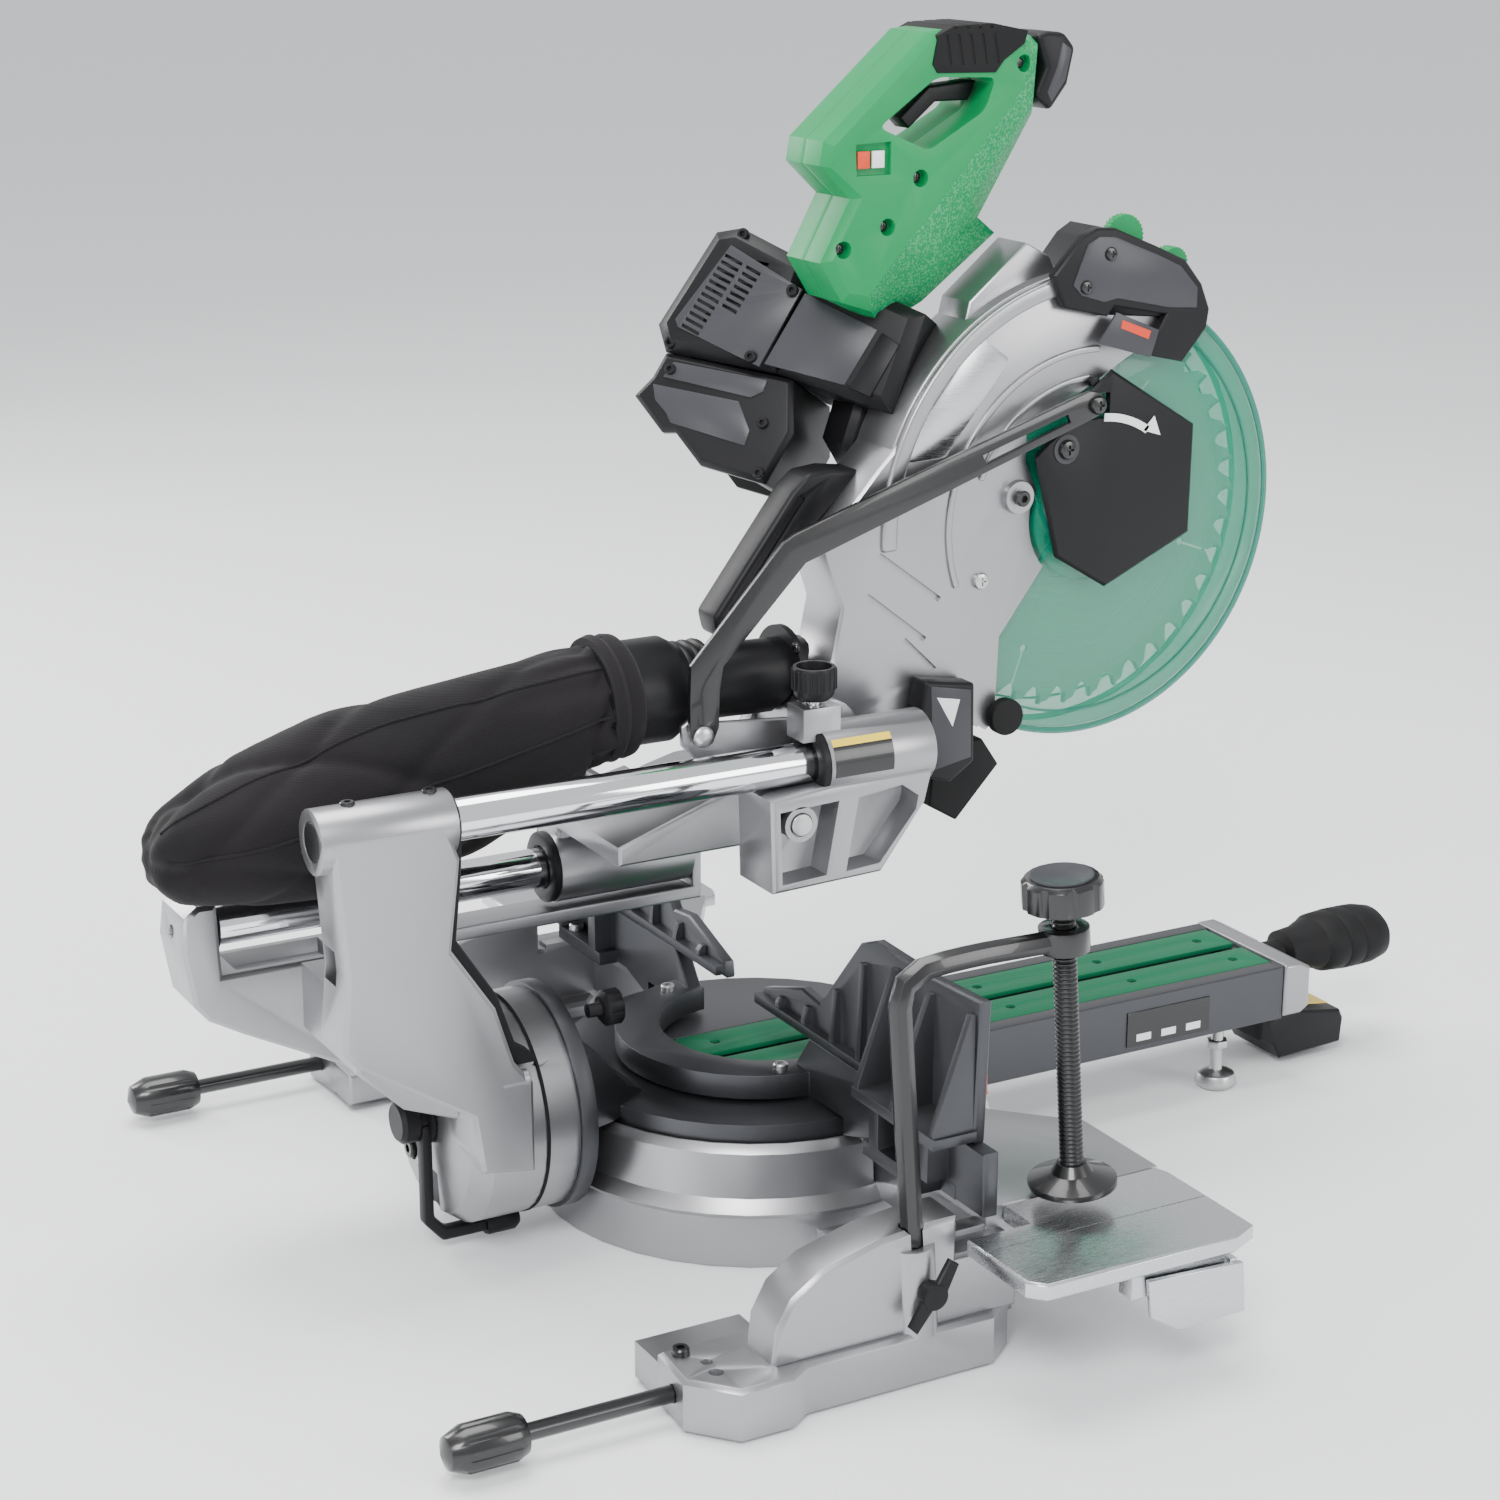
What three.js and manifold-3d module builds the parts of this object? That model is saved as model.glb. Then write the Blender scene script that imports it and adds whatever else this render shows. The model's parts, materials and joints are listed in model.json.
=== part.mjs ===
// A cordless sliding compound mitre saw with a 305 mm blade, raised and slid forward.
// Millimetres, +Z up, +X to the operator's right, -Y towards the operator.
// The origin lies on the bench plane, under the pivot that the table turns on.
import * as THREE from 'three';
import { mergeVertices } from 'three/addons/utils/BufferGeometryUtils.js';
import Module from 'manifold-3d';

const wasm = await Module();
wasm.setup();

// ---- Driving dimensions ----
const GAP = 0.35; // clearance between touching pieces
const TABLE_Z = 100; // work surface, and height of the bevel axis
const BLADE_R = 152.5;
const BLADE_Y = -271.5;
const BLADE_Z = 485.5; // arbor, with the head raised
const TEETH = 40;
const HINGE = [0, -39, 351]; // the pin that the head swings on
const RAIL_X = 68; // each rail's distance from the blade plane
const RAIL_R = 15;
const UPPER_RAIL_Z = 342;
const LOWER_RAIL_Z = 246;
const MITRE_LEFT = 45; // degrees
const MITRE_RIGHT = 57;
const DISC_R = 145; // turning table
const ARM_HALF = 58; // half width of the mitre arm
const ARM_END = -456;
const TABLE_X = 318; // end of the fixed tables
const TABLE_FRONT = -140;
const WING_X = 432; // end of the sliding wings
const GUARD_R = 180;
const GUARD_HALF = 27; // half width of the upper guard
const LOWER_GUARD_R = 170;
const DRUM_R = 80; // bevel drum
const POST_X = -334; // work clamp post
const POST_Y = 63;
const CLAMP_LEAN = THREE.MathUtils.degToRad(4.2);

// ---- Solids ----
function toSolid(geometry) {
  const bare = geometry.clone();
  bare.deleteAttribute('normal');
  bare.deleteAttribute('uv');
  const merged = mergeVertices(bare, 1e-4);
  const vertProperties = new Float32Array(merged.attributes.position.array);
  const triVerts = new Uint32Array(merged.index.array);
  return new wasm.Manifold(new wasm.Mesh({ numProp: 3, vertProperties, triVerts }));
}

function toGeometry(solid) {
  const mesh = solid.asOriginal().simplify(0.01).getMesh();
  const geometry = new THREE.BufferGeometry();
  geometry.setAttribute('position', new THREE.BufferAttribute(mesh.vertProperties, 3));
  geometry.setIndex(new THREE.BufferAttribute(mesh.triVerts, 1));
  const flat = geometry.toNonIndexed();
  flat.computeVertexNormals();
  return flat;
}

const join = (...solids) => solids.reduce((whole, solid) => whole.add(solid));
const cut = (base, ...tools) => tools.reduce((left, tool) => left.subtract(tool), base);

function box(x0, x1, y0, y1, z0, z1) {
  const geometry = new THREE.BoxGeometry(x1 - x0, y1 - y0, z1 - z0);
  geometry.translate((x0 + x1) / 2, (y0 + y1) / 2, (z0 + z1) / 2);
  return toSolid(geometry);
}

function outline(points) {
  return new THREE.Shape(points.map(([u, v]) => new THREE.Vector2(u, v)));
}

// An outline swept straight, with its edges chamfered by `edge`.
function slab(points, depth, edge = 0) {
  const settings = { depth: depth - 2 * edge, bevelEnabled: edge > 0, bevelSegments: 1 };
  Object.assign(settings, { bevelSize: edge, bevelThickness: edge, bevelOffset: -edge });
  const geometry = new THREE.ExtrudeGeometry(outline(points), settings);
  return geometry.translate(0, 0, edge);
}

// Outline in (Y, Z), swept from x0 to x1.
function acrossX(points, x0, x1, edge = 0) {
  const geometry = slab(points, x1 - x0, edge);
  const axes = new THREE.Matrix4().makeBasis(
    new THREE.Vector3(0, 1, 0), new THREE.Vector3(0, 0, 1), new THREE.Vector3(1, 0, 0));
  return toSolid(geometry.applyMatrix4(axes).translate(x0, 0, 0));
}

// Outline in (X, Z), swept from y0 to y1.
function acrossY(points, y0, y1, edge = 0) {
  const geometry = slab(points, y1 - y0, edge);
  return toSolid(geometry.rotateX(Math.PI / 2).translate(0, y1, 0));
}

// Outline in (X, Y), swept from z0 to z1.
function acrossZ(points, z0, z1, edge = 0) {
  return toSolid(slab(points, z1 - z0, edge).translate(0, 0, z0));
}

function placeAlong(geometry, from, to) {
  const start = new THREE.Vector3(...from);
  const way = new THREE.Vector3(...to).sub(start).normalize();
  const turn = new THREE.Quaternion().setFromUnitVectors(new THREE.Vector3(0, 1, 0), way);
  return geometry.applyQuaternion(turn).translate(...from);
}

function rod(from, to, radius, sides = 20) {
  const length = new THREE.Vector3(...to).distanceTo(new THREE.Vector3(...from));
  const geometry = new THREE.CylinderGeometry(radius, radius, length, sides);
  return toSolid(placeAlong(geometry.translate(0, length / 2, 0), from, to));
}

// A profile of [radius, height] pairs, turned about the line from `from` towards `to`.
function turned(profile, from, to, sides = 28) {
  const points = profile.map(([r, h]) => new THREE.Vector2(r, h));
  return toSolid(placeAlong(new THREE.LatheGeometry(points, sides), from, to));
}

// A knob with flutes cut into its rim.
function fluted(profile, from, to, flutes, radius, depth) {
  const axis = new THREE.Vector3(...to).sub(new THREE.Vector3(...from)).normalize();
  const turn = new THREE.Quaternion().setFromUnitVectors(new THREE.Vector3(0, 1, 0), axis);
  const length = Math.max(...profile.map(([, h]) => h));
  const tools = [];
  for (let i = 0; i < flutes; i++) {
    const angle = (2 * Math.PI * i) / flutes;
    const groove = new THREE.CylinderGeometry(depth, depth, length * 2 + 2, 6);
    groove.translate(radius * Math.cos(angle), length / 2, radius * Math.sin(angle));
    tools.push(toSolid(groove.applyQuaternion(turn).translate(...from)));
  }
  return cut(turned(profile, from, to, 20), ...tools);
}

function arc(radius, fromDegrees, toDegrees, steps, centre = [0, 0]) {
  const points = [];
  for (let i = 0; i <= steps; i++) {
    const degrees = fromDegrees + ((toDegrees - fromDegrees) * i) / steps;
    const angle = THREE.MathUtils.degToRad(degrees);
    points.push([centre[0] + radius * Math.cos(angle), centre[1] + radius * Math.sin(angle)]);
  }
  return points;
}

// The biggest piece of a solid that a cut has left slivers of.
function biggest(solid) {
  const pieces = solid.decompose();
  return pieces.sort((p, q) => q.volume() - p.volume())[0];
}

const mirrorX = (solid) => solid.mirror([1, 0, 0]);

// Head outlines are given from the arbor, in (Y, Z).
const fromArbor = (points) => points.map(([y, z]) => [y + BLADE_Y, z + BLADE_Z]);

// ---- Finishes ----
function finish(color, roughness, metalness, opacity = 1) {
  const settings = { color, roughness, metalness };
  if (opacity < 1) Object.assign(settings, { transparent: true, opacity });
  return new THREE.MeshStandardMaterial(settings);
}
const casting = () => finish(0xb9bbbd, 0.42, 0.7);
const darkCasting = () => finish(0x77797e, 0.5, 0.7);
const machined = () => finish(0xd5d8da, 0.25, 0.95);
const chrome = () => finish(0xd8d8d8, 0.1, 1);
const greenPlastic = () => finish(0x00a366, 0.5, 0);
const boardGreen = () => finish(0x0f8a62, 0.55, 0);
const clearGreen = () => finish(0x1fb890, 0.12, 0, 0.45);
const blackPlastic = () => finish(0x2b2b2e, 0.55, 0);
const blackRubber = () => finish(0x1c1c1e, 0.8, 0);
const blackSteel = () => finish(0x18181a, 0.35, 0.6);
const bladeSteel = () => finish(0xc4c7c6, 0.28, 0.95);
const blackFabric = () => finish(0x221f22, 0.95, 0);
const whitePlate = () => finish(0xe9ebec, 0.4, 0.1);
const redPlastic = () => finish(0xe2401c, 0.5, 0);

const saw = new THREE.Group();
saw.name = 'mitre_saw';

function add(name, solid, material, group = saw) {
  const mesh = new THREE.Mesh(toGeometry(solid), material);
  mesh.name = name;
  group.add(mesh);
}

// ---- Base ----
// The line that the mitre arm's edge reaches at a given swing: s runs along the arm.
function armEdge(side, degrees, s) {
  const angle = THREE.MathUtils.degToRad(degrees);
  const half = ARM_HALF + 2;
  const x = half * Math.cos(angle) + s * Math.sin(angle);
  return [side * x, half * Math.sin(angle) - s * Math.cos(angle)];
}

// A fixed table: its inner front corner is cut away where the arm swings past.
function table(side, swing) {
  const low = side < 0 ? -TABLE_X : 120;
  const high = side < 0 ? -120 : TABLE_X;
  const top = box(low, high, TABLE_FRONT, -1, 86, TABLE_Z);
  const rib = box(low, high, -26, -14, 40, 87);
  const passed = [armEdge(side, swing, 0), armEdge(side, swing, 700), [0, -900], [0, 0]];
  const swept = acrossZ(side > 0 ? passed.reverse() : passed, 30, 120);
  return cut(join(top, rib), swept, rod([0, 0, 30], [0, 0, 120], DISC_R + 3.4, 36));
}

const FOOT = [[-285, 228], [-328, 232], [-358, 206], [-358, 168], [-347, 152], [-347, 10], [-330, -12],
  [-300, -12], [-285, 0]];

// One end of the base: its long foot, the arched wall above it and the beam to the drum.
function endCasting() {
  const foot = acrossZ(FOOT, 0, 38, 3);
  const arch = [[-12, 36], [174, 36], [171, 62], [160, 82], [138, 97], [96, 108], [56, 112], [36, 112],
    [36, 84], [-12, 84]];
  const wall = acrossX(arch, -341, -303, 3);
  const boss = rod([POST_X, POST_Y, 34], [POST_X, POST_Y + 4, 97], 15);
  const end = box(-TABLE_X, -TABLE_X + 14, -118, 0, 62, 87);
  const beam = box(-300, -156, -24, 36, 4, 26);
  const upright = box(-317, -303, -24, 30, 20, 88);
  const arm = acrossX([[228, 4], [228, 30], [150, 30], [150, 4]], -300, -250, 2);
  return join(foot, wall, boss, end, beam, upright, arm);
}

function bowl() {
  const profile = [[0, 0], [42, 0], [42, 5], [150, 5], [150, 0], [165, 0], [162, 36], [165, 40],
    [157, 49], [155, 82], [150, 88], [148, 88], [148, 14], [42, 14], [42, 46], [0, 46]];
  const whole = turned(profile, [0, 0, 0], [0, 0, 1], 36);
  return cut(whole, box(-200, 200, -200, -12, 50, 120));
}

function baseCasting() {
  const left = endCasting();
  const postBore = rod([POST_X, POST_Y, 46 - 4], [POST_X, POST_Y + 7.34, 146 - 4], 8.4);
  const body = join(bowl(), left, mirrorX(left), table(-1, MITRE_LEFT + 1), table(1, MITRE_RIGHT + 1));
  const stopHoles = [[-313, 207, 4], [-328, 208, 5]].map(([x, y, r]) => rod([x, y, 28], [x, y, 60], r, 16));
  const rodBores = [-1, 1].map((side) => rod([side * 310, 18, 20], [side * 310, 260, 20], 6.5, 16));
  const wingBores = [];
  for (const side of [-1, 1]) {
    for (const y of [-110, -52]) {
      wingBores.push(rod([side * 180, y, 76], [side * 340, y, 76], 5.5, 12));
    }
  }
  const drumRoom = rod([0, 0, 48], [0, 0, 120], DISC_R + 3.4, 36);
  return cut(body, postBore, ...stopHoles, ...rodBores, ...wingBores, drumRoom);
}

function fenceRing() {
  const outer = rod([0, -2, 103], [0, -2, 121], 106, 40);
  const inner = rod([0, -10, 90], [0, -10, 130], 80, 36);
  return cut(outer, inner, box(-130, 130, -120, 0, 90, 130));
}

function fenceSide(side) {
  const wall = [[-333, 86], [-333, 147], [-104, 147], [-84, 121], [-84, 103], [-152, 103], [-152, 90],
    [-190, 101.5], [-303, 101.5], [-303, 113], [-333, 113]];
  const face = acrossY(wall.slice(1, -2).concat([[-333, 101.5]]), 0, 12, 1);
  const foot = box(-300, -206, 11, 28, 101.5, 112);
  const tabs = [-290, -226].map((x) => box(x, x + 12, 11, 28, 101.5, 146));
  const half = join(face, foot, ...tabs);
  return side < 0 ? half : mirrorX(half);
}

function fenceCasting() {
  const whole = join(fenceRing(), fenceSide(-1), fenceSide(1));
  const seat = join(box(-352, -282, 12.4, 60, 80, 112.5), box(282, 352, 12.4, 60, 80, 112.5));
  return cut(whole, seat, box(-400, 400, -10, 0, 90, 200));
}

// The sliding upper fence: a tall plate with a shelf and gussets behind it.
function subFence() {
  const face = acrossY([[-316, 147.5], [-321, 249], [-265, 246], [-188, 248], [-168, 240], [-112, 176],
    [-87, 179], [-30, 160], [-28, 147.5]], 0, 9, 1.5);
  const shelf = acrossZ([[-318, 8], [-318, 42], [-214, 42], [-196, 16], [-30, 16], [-30, 8]], 150, 157);
  const web = (x, top, back) => acrossX([[8, 152], [8, top], [12, top], [back, 160], [back, 152]],
    x - 3, x + 3);
  return join(face, shelf, web(-312, 238, 40), web(-262, 236, 40), web(-217, 238, 40),
    web(-176, 228, 15), web(-140, 196, 15), web(-100, 170, 15), web(-62, 164, 15));
}

// ---- Stand rods, wings and clamp ----
function standRod(side) {
  const x = side * 310;
  const bar = rod([x, 122, 20], [x, 345, 20], 6, 16);
  const cap = fluted([[0, 0], [13, 0], [16, 8], [16, 40], [11, 52], [0, 56]], [x, 335, 20],
    [x, 400, 20], 8, 17, 2.4);
  return join(bar, cap);
}

function wing() {
  const plate = acrossZ([[-TABLE_X - 1, 31], [-TABLE_X - 1, -138], [-329, -142], [-422, -142], [-432, -121],
    [-431, 26], [-420, 36], [-330, 36]], 88, TABLE_Z, 1.5);
  const notch = box(-352, -300, -14, 60, 80, 110);
  const bars = [[-110, -298], [-52, -215]].map(([y, x]) => rod([x, y, 76], [-424, y, 76], 5, 12));
  const end = box(-424, -410, -118, -44, 69, 89);
  return join(cut(plate, notch), end, ...bars);
}

function wingStop() {
  return join(acrossX([[-54, 82], [-130, 78], [-133, 42], [-80, 41], [-57, 55]], -429, -425),
    box(-425, -410, -128, -122, 60, 80));
}

function clampPost() {
  const path = new THREE.CatmullRomCurve3([[0, 0, 0], [0, 0, 120], [0, 0, 214], [0, -3, 231], [0, -20, 240],
    [0, -60, 239], [0, -112, 234]].map((p) => new THREE.Vector3(...p)), false, 'catmullrom', 0.3);
  const section = new THREE.Shape();
  section.absarc(0, 0, 8, 0, 2 * Math.PI, false);
  const settings = { steps: 22, bevelEnabled: false, extrudePath: path, curveSegments: 4 };
  const bar = toSolid(new THREE.ExtrudeGeometry(section, settings));
  const ring = rod([0, -126, 226], [0, -126, 242], 17);
  return cut(join(bar, ring), rod([0, -126, 210], [0, -126, 260], 7.6));
}

function clampScrew() {
  const y = -126;
  const screw = rod([0, y, 66], [0, y, 272], 7, 20);
  const pad = turned([[0, 0], [30, 0], [30, 4], [14, 9], [10, 16], [0, 16]], [0, y, 57], [0, y, 90], 32);
  const knob = fluted([[0, 0], [12, 0], [27, 5], [27, 22], [24, 25], [0, 25]], [0, y, 252],
    [0, y, 300], 9, 28.4, 4);
  return join(screw, pad, knob);
}

function wingBolt() {
  const shaft = rod([-358, POST_Y + 1, 68], [-349.6, POST_Y + 1, 68], 4, 16);
  const wings = acrossX([[45, 87], [52, 92], [62, 76], [69, 71], [82, 50], [76, 44], [63, 60], [55, 66]],
    -358, -353, 1);
  return join(shaft, wings, rod([-359, 63, 68], [-350, 63, 68], 9, 20));
}

// ---- Turning table ----
function turntable() {
  const disc = rod([0, 0, 56], [0, 0, TABLE_Z], DISC_R, 36);
  const arm = acrossX([[-100, 56], [-100, TABLE_Z], [ARM_END, TABLE_Z], [ARM_END, 55], [-172, 55]],
    -ARM_HALF, ARM_HALF, 1);
  const hub = rod([0, 0, 47], [0, 0, 58], 40, 32);
  const saddle = acrossZ([[-34, 112], [34, 112], [52, 140], [62, 168], [62, 182], [-62, 182], [-62, 168],
    [-52, 140]], 60, 150);
  const slope = acrossX([[90, 92], [162, 91], [170, 26], [182, 26], [182, 170], [168, 160], [128, 112],
    [108, 99.5], [90, 99.5]], -70, 70);
  const flange = rod([0, 170, TABLE_Z], [0, 182, TABLE_Z], DRUM_R + 3, 48);
  const bossL = box(-62, -38, 166, 182, 55, 72);
  const recess = box(-44, 44, ARM_END - 4, 58, 95.7, 110);
  const channel = join(box(-15, 15, ARM_END + 14, 62, 64, 97), box(-9, 9, 50, 64, 64, 110));
  const arch = acrossX([[-430, 50], [-200, 50], [-200, 84], [-430, 84]], -50, -20);
  const bore = rod([0, 146, TABLE_Z], [0, 200, TABLE_Z], 12.5);
  return cut(join(disc, arm, hub, saddle.intersect(slope), flange, bossL), recess, channel, arch,
    mirrorX(arch), bore);
}

function kerfBoard(side) {
  const board = acrossZ([[5.5, -453], [43, -453], [43, 44], [26, 56], [5.5, 56]], 96, TABLE_Z);
  const holes = [-430, -330, -215, -80, 20].map((y) => rod([24, y, 98], [24, y, 104], 4, 12));
  const one = cut(board, ...holes);
  return side < 0 ? mirrorX(one) : one;
}

function armEndCap() {
  const body = acrossX([[ARM_END - GAP, 57], [ARM_END - GAP, 101], [-472, 101], [-482, 96], [-482, 62],
    [-474, 57]], -60, 60, 2);
  return cut(body, rod([0, -490, 88], [0, -462, 88], 11.4), box(-14, 14, -490, -466, 50, 62));
}

function mitreHandle() {
  return turned([[0, 0], [11, 0], [11, 24], [20, 26], [22, 50], [29, 62], [31, 100], [27, 118], [16, 124],
    [0, 125]], [0, -476, 88], [0, -600, 88], 12);
}

function detentLever() {
  const side = [[-456, 53], [-486, 53], [-500, 44], [-539, 38], [-543, 30], [-541, 9], [-478, 6],
    [-470, 20], [-456, 26]];
  return join(acrossX(side, -32, 32, 2), rod([-36, -466, 46], [36, -466, 46], 5, 16));
}

function armFoot() {
  return join(rod([-38, -407, 8], [-38, -407, 83], 5, 16), turned([[0, 0], [14, 0], [17, 4], [15, 11],
    [8, 14], [0, 14]], [-38, -407, 0.6], [-38, -407, 20], 24), rod([-38, -407, 34], [-38, -407, 40], 9, 6));
}

function mitrePointer() {
  return join(acrossZ([[-66, -168], [-60, -156], [-66, -150], [-72, -158]], 52, 54.5),
    box(-62, -58 - GAP, -170, -154, 52, 66));
}

function mitreScale() {
  const points = [...arc(178, 200, 340, 28), ...arc(161.5, 340, 200, 28)];
  return acrossZ(points, 50.4, 52);
}

// ---- Bevel arm and rails ----
function bevelArm() {
  const drum = turned([[0, 0], [DRUM_R, 0], [DRUM_R, 66], [70, 80], [0, 84]], [0, 182 + GAP, TABLE_Z],
    [0, 300, TABLE_Z], 40);
  const plate = acrossX([[282, 348], [272, 321], [274, 303], [280, 257], [249, 210], [236, 168],
    [222, 150], [222, 84], [262, 90], [268, 133], [350, 186], [360, 198], [355, 250], [362, 348]],
  -90.5, -45.5, 3);
  const tubeBoss = rod([-RAIL_X, 272, UPPER_RAIL_Z], [-RAIL_X, 368, UPPER_RAIL_Z], 22.5, 32);
  const flow = acrossY([[-90, 96], [-90, 196], [-46, 196], [30, 170], [70, 130], [76, 96]], 250, 264, 3);
  const cross = acrossX([[240, 110], [306, 136], [339, 168], [339, 216], [252, 216], [240, 196]],
    -60, 44, 2);
  const cradle = acrossX([[262, 118], [306, 130], [381, 169], [407, 184], [417, 196], [424, 238],
    [421, 262], [412, 269], [398, 269], [396, 216], [262, 216]], 42, 94, 3);
  const hollow = acrossX([[310, 205], [384, 205], [384, 230], [310, 230]], 50, 86);
  const bores = [
    rod([-RAIL_X, 200, UPPER_RAIL_Z], [-RAIL_X, 359, UPPER_RAIL_Z], RAIL_R + GAP),
    rod([-RAIL_X, 350, UPPER_RAIL_Z], [-RAIL_X, 380, UPPER_RAIL_Z], 14),
    rod([RAIL_X, 200, LOWER_RAIL_Z], [RAIL_X, 414, LOWER_RAIL_Z], RAIL_R + GAP),
    rod([RAIL_X, 400, LOWER_RAIL_Z], [RAIL_X, 440, LOWER_RAIL_Z], 5),
    rod([0, 170, TABLE_Z], [0, 300, TABLE_Z], 12.5),
    box(-70, -50, 310, 356, 214, 322),
    acrossX([[230, 60], [300, 60], [300, 26], [230, 26]], -12, 12),
  ];
  const leverRoom = rod([-91, 205, 158], [-60, 205, 158], 9);
  return cut(join(drum, plate, tubeBoss, flow, cross, cradle), hollow, ...bores, leverRoom);
}

function lowerRailBracket() {
  return acrossX([[16, 206], [261, 206], [261, 216], [24, 216], [24, 256], [16, 256]], 52, 84, 1);
}

function bevelLockLever() {
  const hub = rod([0, 150, TABLE_Z], [0, 285, TABLE_Z], 12, 20);
  const arm = acrossY([[-14, 112], [14, 112], [16, 88], [-10, 20], [-38, 12], [-46, 22], [-26, 32]],
    269, 280, 2);
  return join(hub, rod([0, 267, TABLE_Z], [0, 284, TABLE_Z], 19, 24), arm);
}

function armCover() {
  const strip = acrossX([[271.5, 340], [271.5, 321], [273.5, 303], [279.5, 257], [247.6, 210], [235.2, 168.3],
    [227.8, 158.5], [212, 158.5], [216, 166], [228, 174], [241, 213], [270, 258], [265, 303],
    [263, 340]].reverse(), -74, -60, 1);
  return cut(strip, rod([-RAIL_X, 200, UPPER_RAIL_Z], [-RAIL_X, 300, UPPER_RAIL_Z], 16));
}

function bevelSetPin() {
  return join(rod([-46, 150, 176], [-46, 160, 176], 5, 16), fluted([[0, 0], [9, 0], [13, 3], [13, 14],
    [0, 15]], [-46, 150, 176], [-46, 120, 176], 8, 13.8, 1.8));
}

// ---- Carriage ----
function carriage() {
  const upper = rod([-RAIL_X, -98, UPPER_RAIL_Z], [-RAIL_X, -11, UPPER_RAIL_Z], 27, 28);
  const lower = rod([RAIL_X, 27, LOWER_RAIL_Z], [RAIL_X, 136, LOWER_RAIL_Z], 27, 28);
  const web = acrossX([[-96, 330], [-90, 306], [-54, 259], [35, 256], [37, 325], [-11, 330]], -93, -41, 2);
  const pockets = [
    acrossX([[-84, 312], [-82, 302], [-52, 266], [-24, 264], [-34, 318], [-70, 322]], -100, -70),
    acrossX([[-8, 264], [28, 262], [30, 316], [-18, 318]], -100, -70),
  ];
  const pinBoss = rod([-91, 13, 305], [-69, 13, 305], 12);
  const beam = acrossX([[-60, 260], [0, 259], [34, 278], [132, 278], [132, 292], [60, 316], [36, 322],
    [-60, 326]], -44, 60, 2);
  const cheek = acrossX([[28, 262], [34, 247], [132, 247], [132, 290], [60, 306]], 56, 94, 2);
  const round = (y, z, r) => arc(r, 0, 360, 20, [y, z]).slice(0, -1);
  const ear = (x0, x1) => join(acrossX(round(HINGE[1], HINGE[2], 25), x0, x1),
    acrossX([[-64, 351], [-14, 351], [6, 312], [-64, 312]], x0, x1));
  const lug = acrossX([[-20, 330], [20, 318], [70, 348], [79, 358], [79, 372], [68, 379], [54, 372],
    [-16, 366]], -39, -34, 1);
  const knobSeat = box(-80, -56, -26, 4, 360, 384);
  const body = join(upper, lower, web, beam, cheek, ear(-39.4, -28.5), ear(28.5, 42), lug, knobSeat);
  const bores = [
    rod([-RAIL_X, -120, UPPER_RAIL_Z], [-RAIL_X, 200, UPPER_RAIL_Z], RAIL_R + GAP),
    rod([RAIL_X, -100, LOWER_RAIL_Z], [RAIL_X, 200, LOWER_RAIL_Z], RAIL_R + GAP),
    rod([-60, HINGE[1], HINGE[2]], [60, HINGE[1], HINGE[2]], 8.4),
    rod([-RAIL_X, -11, 350], [-RAIL_X, -11, 400], 5.4, 16),
    rod([-100, 13, 305], [-60, 13, 305], 8.4),
  ];
  return cut(join(cut(body, ...pockets), pinBoss), ...bores, ...swingRoom());
}

// Room in the carriage for what swings down with the head: leg, light box and guard link.
function swingRoom() {
  const hinge = [HINGE[1], HINGE[2]];
  const leg = join(rod([-28.5, ...hinge], [28.5, ...hinge], 35),
    acrossX([[-30, 314], [-54, 288], [-80, 270], [-80, 360], [-30, 360]].reverse(), -28.5, 28.5));
  const light = acrossX([...arc(131, 150, 266, 10, hinge), ...arc(69, 266, 150, 10, hinge)], -48.5, -26.5);
  const link = acrossX([[-110, 306], [-75, 321], [-40, 327], [100, 327], [100, 420], [-110, 420]],
    -45.4, -39.4);
  const rail = box(44, 96, -70, 26.5, 240, 262);
  return [leg, light, link, rail];
}

function slideKnob() {
  return join(rod([-RAIL_X, -11, 361], [-RAIL_X, -11, 392], 5, 16), fluted([[0, 0], [11, 0], [15, 4],
    [16, 22], [12, 24], [0, 24]], [-RAIL_X, -11, 388], [-RAIL_X, -11, 420], 10, 17, 2));
}

function guardLink() {
  const start = [65.7, 364.6];
  const end = [-267, 572];
  const length = Math.hypot(end[0] - start[0], end[1] - start[1]);
  const way = Math.atan2(end[1] - start[1], end[0] - start[0]);
  const local = [[0, -13], [24, -13], [62, -30], [length * 0.36, -38], [length + 6, -10], [length + 12, 0],
    [length + 6, 10], [length * 0.36, -16], [72, -4], [34, 12], [0, 13], [-12, 5], [-12, -5]];
  const spin = ([u, v]) => [start[0] + u * Math.cos(way) - v * Math.sin(way),
    start[1] + u * Math.sin(way) + v * Math.cos(way)];
  const bar = acrossX(local.map(spin).reverse(), -44.5, -40, 0.8);
  const slotLow = length * 0.66;
  const slot = [[slotLow, -17], [length - 4, -5], [length - 4, 5], [slotLow, -8]];
  return cut(bar, acrossX(slot.map(spin).reverse(), -50, -30));
}

// ---- Head ----
const GUARD_EDGE = [[-94, 151], [22, 87], [58, 72], [58, 45], [28, -19], [78, -85], [80, -134], [83, -152]];

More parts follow.
